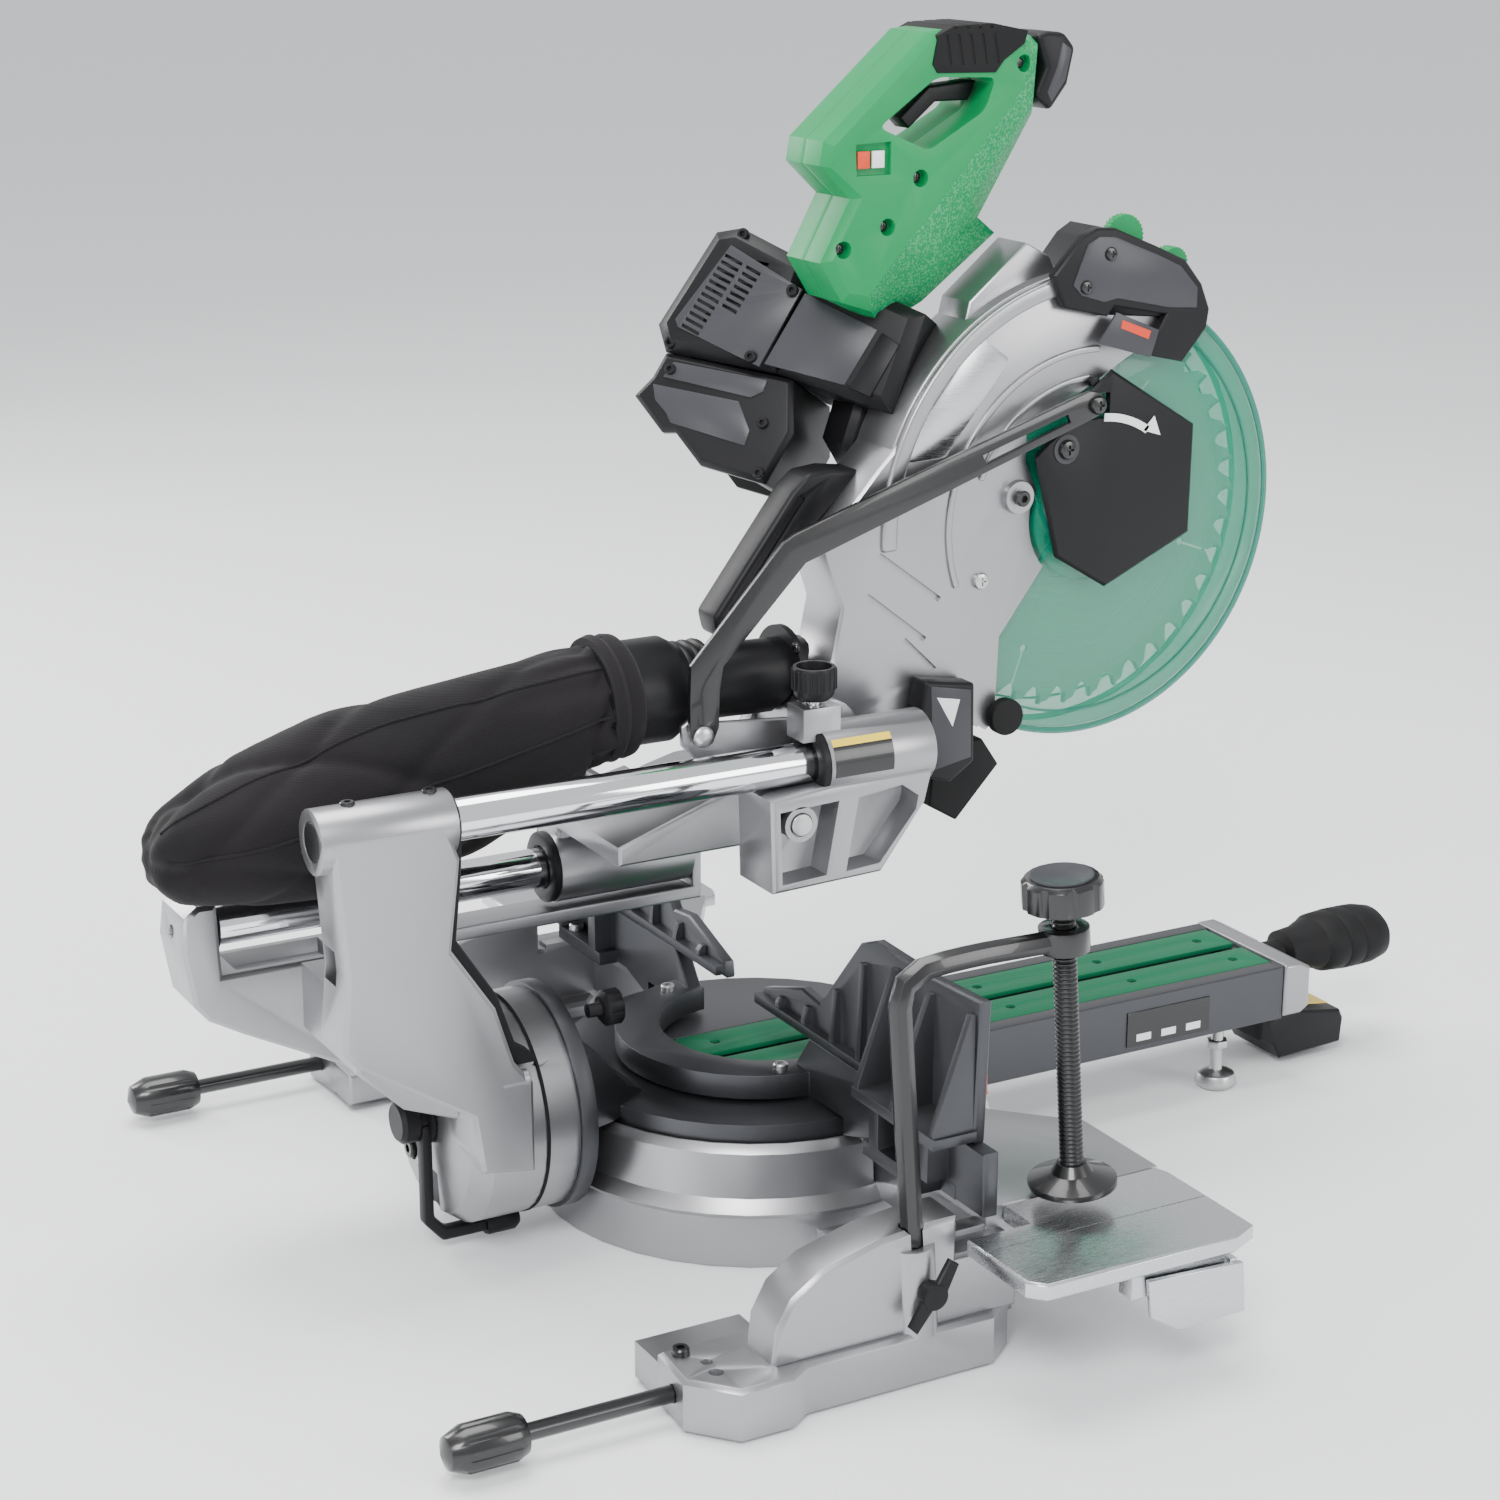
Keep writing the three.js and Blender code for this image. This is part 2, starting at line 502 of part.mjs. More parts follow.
function upperGuard() {
  const inner = LOWER_GUARD_R + 3;
  const band = fromArbor([...arc(GUARD_R, 122, -58, 24), ...arc(inner, -58, 122, 24)]);
  const rim = acrossX(band.reverse(), -GUARD_HALF, GUARD_HALF);
  const faceEdge = [...GUARD_EDGE, ...arc(GUARD_R - 1, -60.5, 121.5, 24)];
  const nearWall = acrossX(fromArbor(faceEdge), -GUARD_HALF, -GUARD_HALF + 4);
  const farWall = acrossX(fromArbor(faceEdge), GUARD_HALF - 4, GUARD_HALF);
  const leg = acrossX([[-110, 560], [-87, 537], [-42, 487], [-58, 438], [-50, 400], [-16, 368], [-18, 330],
    [-60, 326], [-121, 333], [-165, 356], [-164, 390], [-186, 400], [-194, 432], [-170, 520]].reverse(),
  -GUARD_HALF, GUARD_HALF, 2);
  const knuckle = rod([-GUARD_HALF, HINGE[1], HINGE[2]], [GUARD_HALF, HINGE[1], HINGE[2]], 22, 32);
  const neck = acrossX(fromArbor([[22, 174], [32, 193], [52, 203.4], [100, 164], [106, 140]]), -12, 26.8, 1);
  const room = rod([-GUARD_HALF + 4, BLADE_Y, BLADE_Z], [GUARD_HALF - 4, BLADE_Y, BLADE_Z], inner, 56);
  const skin = rod([-30, BLADE_Y, BLADE_Z], [60, BLADE_Y, BLADE_Z], inner + 1, 48);
  const shell = cut(join(leg, knuckle), skin);
  const whole = join(rim, nearWall, farWall, shell, cut(neck, skin));
  const hub = rod([-40, BLADE_Y, BLADE_Z], [0, BLADE_Y, BLADE_Z], 54, 40);
  const arbor = rod([0, BLADE_Y, BLADE_Z], [60, BLADE_Y, BLADE_Z], 24, 32);
  const pin = rod([-60, HINGE[1], HINGE[2]], [60, HINGE[1], HINGE[2]], 8.4);
  return cut(whole, room, hub, arbor, pin);
}

function hexCover() {
  const edge = fromArbor([[-9.8, 109.7], [-87, 62], [-86, -21], [-10, -55], [36, -27], [57, 55]]);
  const plate = acrossX(edge, -38, -32.5, 2.5);
  const foot = rod([-34, BLADE_Y + 3, BLADE_Z + 101], [-27.4, BLADE_Y + 3, BLADE_Z + 101], 4, 12);
  const sweep = cut(rod([-39, BLADE_Y, BLADE_Z], [-28, BLADE_Y, BLADE_Z], 93.5, 48),
    rod([-45, BLADE_Y, BLADE_Z], [-25, BLADE_Y, BLADE_Z], 74, 48));
  const sector = acrossX(fromArbor([[-8, 0], [-8, 94], [120, 120], [120, -120], [0, -120]]), -50, -20);
  return join(cut(plate, sweep.intersect(sector)), foot);
}

function blade() {
  const points = [];
  for (let i = 0; i < TEETH; i++) {
    const at = (-360 * i) / TEETH;
    for (const [radius, turn] of [[BLADE_R, 0], [BLADE_R - 3, 3], [BLADE_R - 11, 4.2]]) {
      const angle = THREE.MathUtils.degToRad(at - turn);
      points.push([radius * Math.cos(angle), radius * Math.sin(angle)]);
    }
  }
  const disc = acrossX(fromArbor(points.reverse()), -1.2, 1.2);
  const flange = rod([-7, BLADE_Y, BLADE_Z], [7, BLADE_Y, BLADE_Z], 26, 32);
  const arbor = rod([-14, BLADE_Y, BLADE_Z], [48, BLADE_Y, BLADE_Z], 12, 24);
  return join(disc, flange, arbor);
}

function lowerGuard() {
  const edge = fromArbor([...arc(LOWER_GUARD_R, -62, -236, 24), [22, 87], [58, 72], [58, 45], [28, -19],
    [78, -85]]);
  const wall = (x0, x1) => acrossX(edge.slice().reverse(), x0, x1);
  const band = fromArbor([...arc(LOWER_GUARD_R, -62, -236, 24), ...arc(LOWER_GUARD_R - 3, -236, -62, 24)]);
  const rim = acrossX(band.reverse(), -20, 20);
  const hub = rod([-28, BLADE_Y, BLADE_Z], [-17.5, BLADE_Y, BLADE_Z], 50, 32);
  const lug = acrossX(fromArbor([[-10, 90], [-14, 82], [-40, 28], [40, 28], [22, 84], [14, 92]]), -31, -27.5);
  const pin = rod([-39.4, BLADE_Y + 4.5, BLADE_Z + 83], [-29, BLADE_Y + 4.5, BLADE_Z + 83], 4.5, 16);
  const farHub = rod([17.5, BLADE_Y, BLADE_Z], [22.4, BLADE_Y, BLADE_Z], 48, 32);
  const hole = rod([-60, BLADE_Y, BLADE_Z], [60, BLADE_Y, BLADE_Z], 27.5, 32);
  return cut(join(wall(-20, -17.5), wall(17.5, 20), rim, hub, lug, pin, farHub), hole);
}

function guardRoller() {
  const [y, z] = [BLADE_Y + 74, BLADE_Z - 146];
  return join(rod([-36, y, z], [-27.4, y, z], 14, 28), rod([-30, y, z], [-20.4, y, z], 4, 12));
}

function laserHousing() {
  const side = [[44, 182], [19, 209], [7, 214], [-9, 213], [-48, 197], [-73, 186], [-89, 167], [-97, 148],
    [-95, 134], [-74, 110], [-40, 118], [-58, 147], [-10, 156], [-4, 149], [34, 158]];
  const cheek = acrossX(fromArbor(side), -37, -GUARD_HALF - 0.4, 1.5);
  const top = acrossX(fromArbor([[20, 178], [-2, 204], [-14, 211], [-48, 197], [-73, 186],
    [-89, 167], [-94, 140], [0, 150]]), -30, 30, 1);
  const under = rod([-27.4, BLADE_Y, BLADE_Z], [50, BLADE_Y, BLADE_Z], GUARD_R + 1, 48);
  const wells = [box(-25, -14, BLADE_Y - 46, BLADE_Y - 8, BLADE_Z + 185, 800),
    box(-24, -7, BLADE_Y - 88, BLADE_Y - 60, BLADE_Z + 168, 800)];
  return cut(join(cheek, cut(top, under)), ...wells);
}

const laserWheels = [
  () => fluted([[0, 0], [17, 0], [17, 7], [0, 7]], [-16, BLADE_Y - 27, BLADE_Z + 204],
    [-30, BLADE_Y - 27, BLADE_Z + 204], 9, 17.6, 2),
  () => fluted([[0, 0], [12, 0], [12, 13], [0, 13]], [-9, BLADE_Y - 74, BLADE_Z + 182],
    [-30, BLADE_Y - 74, BLADE_Z + 182], 8, 12.6, 1.6),
];

// The motor lies aslant behind the blade: `a` runs along it, `b` up and `c` to its left side.
const MOTOR_AT = [30, -142, 585];
const MOTOR_END = [185, -33, 622];
const LOOK = new THREE.Vector3(-0.838, 0.461, 0.29);

function motorAxes() {
  const a = new THREE.Vector3(...MOTOR_END).sub(new THREE.Vector3(...MOTOR_AT)).normalize();
  const c = LOOK.clone().addScaledVector(a, -LOOK.dot(a)).normalize();
  const b = new THREE.Vector3().crossVectors(c, a).negate();
  return new THREE.Matrix4().makeBasis(a, b, c.negate()).setPosition(...MOTOR_AT);
}

function motorSlab(points, c0, c1, edge = 0) {
  const geometry = slab(points, c1 - c0, edge).translate(0, 0, -c1);
  return toSolid(geometry.applyMatrix4(motorAxes()));
}

const HOUSING = [[-14, -28], [81.6, -24], [81.6, 60], [-14, 48]];

function motorHousing() {
  const room = rod([-60, BLADE_Y, BLADE_Z], [62.4, BLADE_Y, BLADE_Z], GUARD_R + 1, 48);
  return biggest(cut(motorSlab(HOUSING, -50, 50, 9), room));
}

function motorEndCap() {
  const cap = motorSlab([[82, -24], [171, -32], [184, -14], [164, 64], [146, 72], [82, 60]], -50, 50, 9);
  const vents = [];
  for (let i = 0; i < 12; i++) {
    const b = -2 + i * 4.6;
    vents.push(motorSlab([[112, b], [147, b - 2], [147, b + 0.4], [112, b + 2.4]], 42, 60));
  }
  return biggest(cut(cap, ...vents));
}

function batteryMount() {
  const body = motorSlab([[56, -84], [52, -62], [66, -24.6], [170, -32.6], [174, -53], [183, -70],
    [152, -90], [142, -87], [114, -105], [60, -104]], -46, 46, 4);
  const bay = motorSlab([[70, -120], [70, -74], [190, -62], [200, -120]], -36, 36);
  return cut(body, bay, motorSlab([[40, -26.7], [82, -24.5], [171, -32.5], [190, -18],
    [190, 10], [40, 10]], -60, 60));
}

function gearCase() {
  const spindle = arc(58, 0, 360, 32).slice(0, -1);
  const plate = acrossX(fromArbor(spindle), GUARD_HALF + GAP, 62, 4);
  const shoulder = acrossX(fromArbor([[-30, 50], [30, -50], [150, 10], [180, 60], [160, 118], [120, 132],
    [60, 120]]), GUARD_HALF + GAP, 66, 5);
  const grown = motorSlab([[-14.4, -28.4], [82, -24.4], [300, -24], [300, 60.4], [82, 60.4], [-14.4, 48.4]],
    -50.4, 50.4);
  const arbor = rod([20, BLADE_Y, BLADE_Z], [54, BLADE_Y, BLADE_Z], 12.4, 24);
  return cut(join(plate, shoulder), grown, arbor);
}

const HANDLE = [[216, 265], [213, 282], [130, 354], [111, 356], [78, 357], [44, 351], [24, 347], [26, 292],
  [71, 219], [56, 207], [118, 161], [146, 148], [156, 149], [197, 168], [215, 197], [191, 241]];
const FINGER_GAP = [[171, 290], [124, 324], [74, 322], [83, 298], [130, 272]];

function handleHalf(x0, x1) {
  const body = acrossX(fromArbor(HANDLE.slice().reverse()), x0, x1, 6);
  const gap = acrossX(fromArbor(FINGER_GAP), x0 - 5, x1 + 5);
  const panel = acrossX(fromArbor([[190, 278], [162, 279], [162, 258], [188, 258]]), -5, 4);
  const clear = motorSlab([[-15, -29], [82, -25], [300, -25], [300, 80], [146, 73], [82, 61], [-15, 49]],
    -51, 51);
  return biggest(cut(body, gap, panel, clear, handleTool()));
}

function gripShape(grow) {
  const g = grow;
  return acrossX(fromArbor([[108 + g, 357 + g], [30 - g, 349 + g], [22 - g, 345], [20 - g, 300 - g],
    [34, 292 - g], [52 + g, 318], [60, 337 - g], [104 + g, 340 - g]]), 12 - g, 48 + g, g > 0 ? 0 : 2);
}

function handleTool() {
  return gripShape(GAP);
}

function trigger() {
  return acrossX(fromArbor([[118, 315], [78, 318], [84, 304], [112, 304], [134, 286], [142, 294]]), 20, 40, 1);
}

function switchButton(index) {
  const y = BLADE_Y + 183 - index * 12;
  const z = BLADE_Z + 268;
  return box(0.4, 2.4, y - 5, y + 5, z - 6, z + 6);
}

function carryHandle() {
  const path = new THREE.CatmullRomCurve3([[11, -63, 528], [11, -56, 527], [11, -44, 518], [11, -10, 470],
    [11, 22, 430], [11, 27, 421]].map((p) => new THREE.Vector3(...p)),
  false, 'catmullrom', 0.3);
  const section = new THREE.Shape();
  section.absellipse(0, 0, 12, 9, 0, 2 * Math.PI, false);
  const settings = { steps: 14, bevelEnabled: false, extrudePath: path, curveSegments: 4 };
  return toSolid(new THREE.ExtrudeGeometry(section, settings));
}

function ledBox() {
  return acrossX([[-117, 381], [-160, 374], [-161, 314], [-140, 300], [-121, 306], [-108, 330]],
    -48, -GUARD_HALF - GAP, 2);
}

function dustFlap() {
  return acrossX([[-141, 322], [-183, 322], [-198, 300], [-161, 261], [-137, 276]], -24, 24, 1);
}

function dustDuct() {
  const tube = rod([5, -70, 386], [5, 41.2, 389], 27, 24);
  const leg = acrossX([[-200, 300], [-60, 300], [-60, 340], [-18, 350], [-11, 366], [-41, 410], [-41, 440],
    [-200, 440]], -60, 70);
  const bore = rod([5, -80, 386], [5, 60, 389], 23, 24);
  return cut(tube, leg, bore);
}

function dustElbow() {
  const profile = [[24, 0], [32, 0], [32, 4], [29, 6], [32, 8], [32, 12], [29, 14], [34, 18], [38, 26],
    [38, 88], [35, 88], [35, 30], [24, 16], [24, 0]];
  return turned(profile, [5, 42 + GAP, 389], [5, 200, 389], 20);
}

// The hanging bag: rounded sections along its length.
function dustBag() {
  const stations = [[112, 389, 43, 43, 5], [150, 382, 50, 52, 14], [230, 354, 62, 66, 26],
    [320, 338, 64, 66, 32], [390, 328, 58, 52, 34], [440, 318, 40, 34, 34], [454, 316, 20, 18, 34]];
  const sides = 20;
  const positions = [];
  for (const [y, z, wide, tall, x] of stations) {
    for (let i = 0; i < sides; i++) {
      const angle = (2 * Math.PI * i) / sides;
      positions.push(x + wide * Math.cos(angle), y, z + tall * Math.sin(angle));
    }
  }
  const first = stations[0];
  const last = stations[stations.length - 1];
  positions.push(first[4], first[0], first[1], last[4], last[0] + 2, last[1]);
  const start = stations.length * sides;
  const faces = [];
  for (let i = 0; i < sides; i++) {
    const next = (i + 1) % sides;
    for (let s = 0; s < stations.length - 1; s++) {
      const [p, q] = [s * sides, (s + 1) * sides];
      faces.push(p + i, q + i, q + next, p + i, q + next, p + next);
    }
    const end = (stations.length - 1) * sides;
    faces.push(start, i, next, start + 1, end + next, end + i);
  }
  const geometry = new THREE.BufferGeometry();
  geometry.setAttribute('position', new THREE.Float32BufferAttribute(positions, 3));
  geometry.setIndex(faces);
  return cut(toSolid(geometry), rod([5, 100, 389], [5, 132, 389], 38.4, 32));
}

// ---- Assembly ----
add('base_casting', baseCasting(), casting());
add('fence_casting', fenceCasting(), darkCasting());
add('mitre_scale', mitreScale(), whitePlate());
add('left_sub_fence', subFence(), darkCasting());
add('right_sub_fence', mirrorX(subFence()), darkCasting());
add('left_rear_rod', standRod(-1), blackSteel());
add('right_rear_rod', standRod(1), blackSteel());
add('left_wing', wing(), machined());
add('right_wing', mirrorX(wing()), machined());
add('wing_stop', wingStop(), machined());
add('clamp_wing_bolt', wingBolt(), blackPlastic());

const clamp = new THREE.Group();
clamp.position.set(POST_X, POST_Y, 46);
clamp.rotation.x = -CLAMP_LEAN;
saw.add(clamp);
add('clamp_post', clampPost(), blackSteel(), clamp);
add('clamp_screw', clampScrew(), blackSteel(), clamp);

add('turntable', turntable(), casting());
add('left_kerf_board', kerfBoard(-1), boardGreen());
add('right_kerf_board', kerfBoard(1), boardGreen());
add('arm_end_cap', armEndCap(), casting());
add('mitre_handle', mitreHandle(), blackRubber());
add('detent_lever', detentLever(), blackPlastic());
add('arm_foot', armFoot(), blackSteel());
add('mitre_pointer', mitrePointer(), redPlastic());
add('bevel_set_pin', bevelSetPin(), blackPlastic());

add('bevel_arm', bevelArm(), casting());
add('upper_rail', rod([-RAIL_X, -92, UPPER_RAIL_Z], [-RAIL_X, 358, UPPER_RAIL_Z], RAIL_R, 32), chrome());
add('lower_rail', rod([RAIL_X, 24 + GAP, LOWER_RAIL_Z], [RAIL_X, 413, LOWER_RAIL_Z], RAIL_R, 32), chrome());
add('rail_plug', rod([-RAIL_X, 360, UPPER_RAIL_Z], [-RAIL_X, 368, UPPER_RAIL_Z], 13.5, 24), blackPlastic());
add('lower_rail_bracket', lowerRailBracket(), casting());
add('arm_cover', armCover(), blackPlastic());
add('bevel_lock_lever', bevelLockLever(), blackPlastic());

add('carriage', carriage(), casting());
add('hinge_pin', rod([-39.4, HINGE[1], HINGE[2]], [44, HINGE[1], HINGE[2]], 8, 24), machined());
add('slide_lock_knob', slideKnob(), blackPlastic());
add('hold_down_pin', rod([-95, 13, 305], [-75, 13, 305], 8, 24), machined());
add('guard_link', guardLink(), blackSteel());
add('link_screw', turned([[0, 0], [8, 0], [8, 2], [5, 4], [0, 4]], [-44.8, 65.7, 364.6],
  [-60, 65.7, 364.6], 24), chrome());

add('upper_guard', upperGuard(), casting());
add('hex_cover', hexCover(), blackPlastic());
add('gear_case', gearCase(), blackPlastic());
add('motor_housing', motorHousing(), blackPlastic());
add('motor_end_cap', motorEndCap(), blackPlastic());
add('battery_mount', batteryMount(), blackPlastic());
add('left_handle_shell', handleHalf(0, 29.85), greenPlastic());
add('right_handle_shell', handleHalf(30.15, 60), greenPlastic());
add('grip_pad', gripShape(0), blackRubber());
add('trigger', trigger(), blackPlastic());
add('laser_button', switchButton(0), redPlastic());
add('light_button', switchButton(1), whitePlate());
add('laser_housing', laserHousing(), blackPlastic());
laserWheels.forEach((wheel, i) => add(`laser_wheel_${i + 1}`, wheel(), greenPlastic()));
add('carry_handle', carryHandle(), blackPlastic());
add('light_box', ledBox(), blackPlastic());
add('dust_flap', dustFlap(), blackRubber());
add('dust_duct', dustDuct(), blackPlastic());
add('dust_elbow', dustElbow(), blackPlastic());
add('dust_bag', dustBag(), blackFabric());
add('blade', blade(), bladeSteel());
add('lower_guard', lowerGuard(), clearGreen());
add('guard_roller', guardRoller(), blackRubber());

export default saw;
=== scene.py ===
# %% [markdown]
# # A sliding compound mitre saw
#
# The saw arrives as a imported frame: one object for each sub-part, in metres, with the
# origin on the bench under the pivot of the table. This file gives each part the
# shape and the finish of the real one: soft cast edges, moulded plastic, a clear
# tinted guard, a toothed blade and a sewn dust bag.

# %% Load the frame
import bpy
import json
from math import atan2, cos, hypot, pi, radians, sin
from mathutils import Matrix, Vector


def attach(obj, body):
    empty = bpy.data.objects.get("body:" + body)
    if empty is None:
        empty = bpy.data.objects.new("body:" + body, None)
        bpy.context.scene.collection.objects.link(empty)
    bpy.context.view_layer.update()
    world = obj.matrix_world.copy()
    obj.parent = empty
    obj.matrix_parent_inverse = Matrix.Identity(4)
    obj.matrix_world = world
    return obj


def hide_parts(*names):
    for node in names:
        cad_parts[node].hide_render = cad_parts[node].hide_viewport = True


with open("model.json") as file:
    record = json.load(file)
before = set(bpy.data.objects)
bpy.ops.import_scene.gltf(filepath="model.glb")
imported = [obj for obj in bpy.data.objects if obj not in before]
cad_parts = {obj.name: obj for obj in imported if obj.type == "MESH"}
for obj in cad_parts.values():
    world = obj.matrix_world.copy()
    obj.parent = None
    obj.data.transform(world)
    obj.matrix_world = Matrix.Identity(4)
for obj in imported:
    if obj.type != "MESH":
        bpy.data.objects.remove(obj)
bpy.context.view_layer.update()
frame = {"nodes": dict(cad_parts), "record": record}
RECORD = frame["record"]
BODY_OF = {node: body for body, nodes in RECORD["behaviour"]["bodies"].items() for node in nodes}
SLOT_OF = {row["node"]: row["material_slot"] for row in RECORD["subparts"]}

# %% [markdown]
# ## Camera
#
# The camera stands behind and to the left of the saw, a little above it, so the
# rails, the rear arm and the bag are seen first. A long lens keeps the lines calm.
# The saw stands in a small studio: a bright pale room, a large soft key from above,
# a broad fill, and a strip behind that draws a line along the tubes.

# %% Camera
AZIMUTH = radians(241.1857)
ELEVATION = radians(16.8714)
CAMERA_AT = Vector((-1.85584, 1.02404, 0.97629))

def set_camera():
    lens = bpy.data.cameras.new("studio_camera")
    lens.lens = 72.887
    lens.sensor_width = 36
    camera = bpy.data.objects.new("studio_camera", lens)
    bpy.context.scene.collection.objects.link(camera)
    back = Vector((sin(AZIMUTH) * cos(ELEVATION), -cos(AZIMUTH) * cos(ELEVATION), sin(ELEVATION)))
    camera.location = CAMERA_AT
    camera.rotation_euler = back.to_track_quat("Z", "Y").to_euler()
    bpy.context.scene.camera = camera

set_camera()
print("camera at", tuple(CAMERA_AT))

# %% [markdown]
# ## Working as by hand
#
# An operator acts on whatever is selected, so each helper first selects one object
# alone, or opens its mesh with nothing selected. A finished mesh is merged, turned
# outwards and left with its place in its own points.

# %% Small helpers
SMOOTH_BELOW = radians(38)
MERGE_NEAR = 1e-6
MERGE_LOOSE = 1e-5

def mm(*values):
    """Millimetres to a point in metres."""
    return Vector([value / 1000 for value in values])

def pick(obj):
    """Select one object alone and make it the active one."""
    if bpy.context.object and bpy.context.object.mode == "EDIT":
        bpy.ops.object.mode_set(mode="OBJECT")
    bpy.ops.object.select_all(action="DESELECT")
    obj.select_set(True)
    bpy.context.view_layer.objects.active = obj

def open_mesh(obj):
    """Edit a mesh with nothing selected in it."""
    pick(obj)
    bpy.ops.object.mode_set(mode="EDIT")
    bpy.ops.mesh.select_mode(type="VERT")
    bpy.ops.mesh.select_all(action="DESELECT")

def close_mesh(obj, outward=True):
    """Merge what coincides, turn the faces outwards and leave edit mode."""
    bpy.ops.mesh.select_all(action="SELECT")
    bpy.ops.mesh.remove_doubles(threshold=MERGE_NEAR)
    if outward:
        bpy.ops.mesh.normals_make_consistent(inside=False)
    bpy.ops.object.mode_set(mode="OBJECT")
    bpy.ops.object.transform_apply(location=True, rotation=True, scale=True)

def apply_modifier(obj, kind, **settings):
    """Add a modifier with its settings, and apply it at once."""
    pick(obj)
    modifier = obj.modifiers.new(kind.lower(), kind)
    for key, value in settings.items():
        setattr(modifier, key, value)
    bpy.ops.object.modifier_apply(modifier=modifier.name)

def soften(obj, width, segments=2, limit=35):
    """Round every edge sharper than the limit."""
    apply_modifier(obj, "BEVEL", width=width / 1000, segments=segments, limit_method="ANGLE",
        angle_limit=radians(limit), use_clamp_overlap=True, profile=0.5)
    pick(obj)
    bpy.ops.object.shade_smooth_by_angle(angle=SMOOTH_BELOW)

print("creases stay sharp above", round(SMOOTH_BELOW * 180 / pi), "degrees")

# %% [markdown]
# ## Floor and lights
#
# The floor is a wide sheet, so that its far edge is never seen. Each light is a flat
# panel that is turned to face the saw, and the room itself gives the even base light.

# %% Floor and lights
def add_floor():
    bpy.ops.mesh.primitive_plane_add(size=60, location=(0, 0, -0.0006))
    floor = bpy.context.object
    floor.name = "studio_floor"
    return floor

def add_light(name, place, aim, size, power, tint=(1, 1, 1)):
    light = bpy.data.lights.new(name, "AREA")
    light.shape = "RECTANGLE"
    light.size, light.size_y = size
    light.energy = power
    light.color = tint
    lamp = bpy.data.objects.new(name, light)
    bpy.context.scene.collection.objects.link(lamp)
    lamp.location = place
    lamp.rotation_euler = (Vector(place) - Vector(aim)).to_track_quat("Z", "Y").to_euler()

bpy.ops.object.select_all(action="DESELECT")
FLOOR = add_floor()
add_light("key", (-2.6, 2.0, 3.0), (0, 0, 0.3), (1.6, 1.2), 130)
add_light("fill", (-3.0, -2.0, 1.5), (0, 0, 0.3), (1.4, 1.6), 50)
add_light("top", (0.5, 0.1, 3.2), (0, 0, 0.2), (2.0, 2.0), 95)
add_light("strip", (-1.0, 3.4, 0.9), (0, 0, 0.3), (0.5, 1.6), 22)
add_light("rim", (2.6, 1.2, 1.6), (0, 0, 0.4), (0.7, 2.0), 60)
WORLD = bpy.data.worlds.new("studio_room")
bpy.context.scene.world = WORLD
WORLD.use_nodes = True
ROOM = WORLD.node_tree.nodes["Background"]
ROOM.inputs["Color"].default_value = (0.97, 0.98, 1.0, 1)
ROOM.inputs["Strength"].default_value = 0.95

# %% [markdown]
# ## Finishes
#
# A finish is a small network of nodes. Written as plain Python sums it stays
# readable: a Value stands for a socket, and adding or multiplying values adds the
# Math nodes. A Paint is one material, with one method that makes any other node.

# %% Values and paints
class Value:
    """A socket in a material, with its arithmetic written as Python."""
    def __init__(self, paint, socket):
        self.paint, self.socket = paint, socket

    def math(self, operation, first, second):
        return self.paint.node("ShaderNodeMath", {"operation": operation}, {0: first, 1: second})

    def __add__(self, other):
        return self.math("ADD", self, other)

    def __sub__(self, other):
        return self.math("SUBTRACT", self, other)

    def __rsub__(self, other):
        return self.math("SUBTRACT", other, self)

    def __mul__(self, other):
        return self.math("MULTIPLY", self, other)

    __radd__ = __add__
    __rmul__ = __mul__

class Paint:
    """One material. Constants go on the shader's own sockets."""
    def __init__(self, name, color, roughness, **constants):
        self.material = bpy.data.materials.new(name)
        self.material.use_nodes = True
        self.tree = self.material.node_tree
        self.shader = self.tree.nodes["Principled BSDF"]
        self.color = (*color, 1)
        self.put(self.shader, {"Base Color": self.color, "Roughness": roughness})
        self.put(self.shader, {key.replace("_", " "): value for key, value in constants.items()})
        self.place = self.node("ShaderNodeTexCoord", output="Object")

    def put(self, node, inputs):
        for key, value in inputs.items():
            if isinstance(value, Value):
                self.tree.links.new(value.socket, node.inputs[key])
            else:
                node.inputs[key].default_value = value

    def node(self, kind, settings=None, inputs=None, output=0):
        node = self.tree.nodes.new(kind)
        for key, value in (settings or {}).items():
            setattr(node, key, value)
        self.put(node, inputs or {})
        return Value(self, node.outputs[output])

    def noise(self, scale, detail=3, roughness=0.5, where=None):
        return self.node("ShaderNodeTexNoise", inputs={"Vector": where or self.place, "Scale": scale,
            "Detail": detail, "Roughness": roughness}, output="Fac")

    def ramp(self, value, low, high):
        """0 below low, 1 above high, straight between them."""
        return self.node("ShaderNodeMapRange", {"clamp": True},
            {"Value": value, "From Min": low, "From Max": high})

    def stretched(self, scale):
        return self.node("ShaderNodeMapping", inputs={"Vector": self.place, "Scale": scale})

    def blend(self, factor, first, second):
        first = (*first, 1) if isinstance(first, tuple) and len(first) == 3 else first
        second = (*second, 1) if isinstance(second, tuple) and len(second) == 3 else second
        return self.node("ShaderNodeMix", {"data_type": "RGBA"}, {0: factor, 6: first, 7: second}, 2)

    def use(self, **inputs):
        self.put(self.shader, {key.replace("_", " "): value for key, value in inputs.items()})
        return self

    def bump(self, height, strength=0.2, distance=0.001):
        bumped = self.node("ShaderNodeBump", inputs={"Height": height, "Strength": strength,
            "Distance": distance})
        return self.use(Normal=bumped)

def shade(color, factor):
    return tuple(min(1, channel * factor) for channel in color)

print("a shade of grey", shade((0.5, 0.5, 0.5), 0.9))

# %% [markdown]
# ## Metals
#
# The castings are bead-blasted aluminium under a thin satin lacquer: slightly grey,
# with a very fine grain and slow clouds in the gloss. The sliding wings and the
# blade are machined, so their scratches run one way. The tubes are hard chrome.

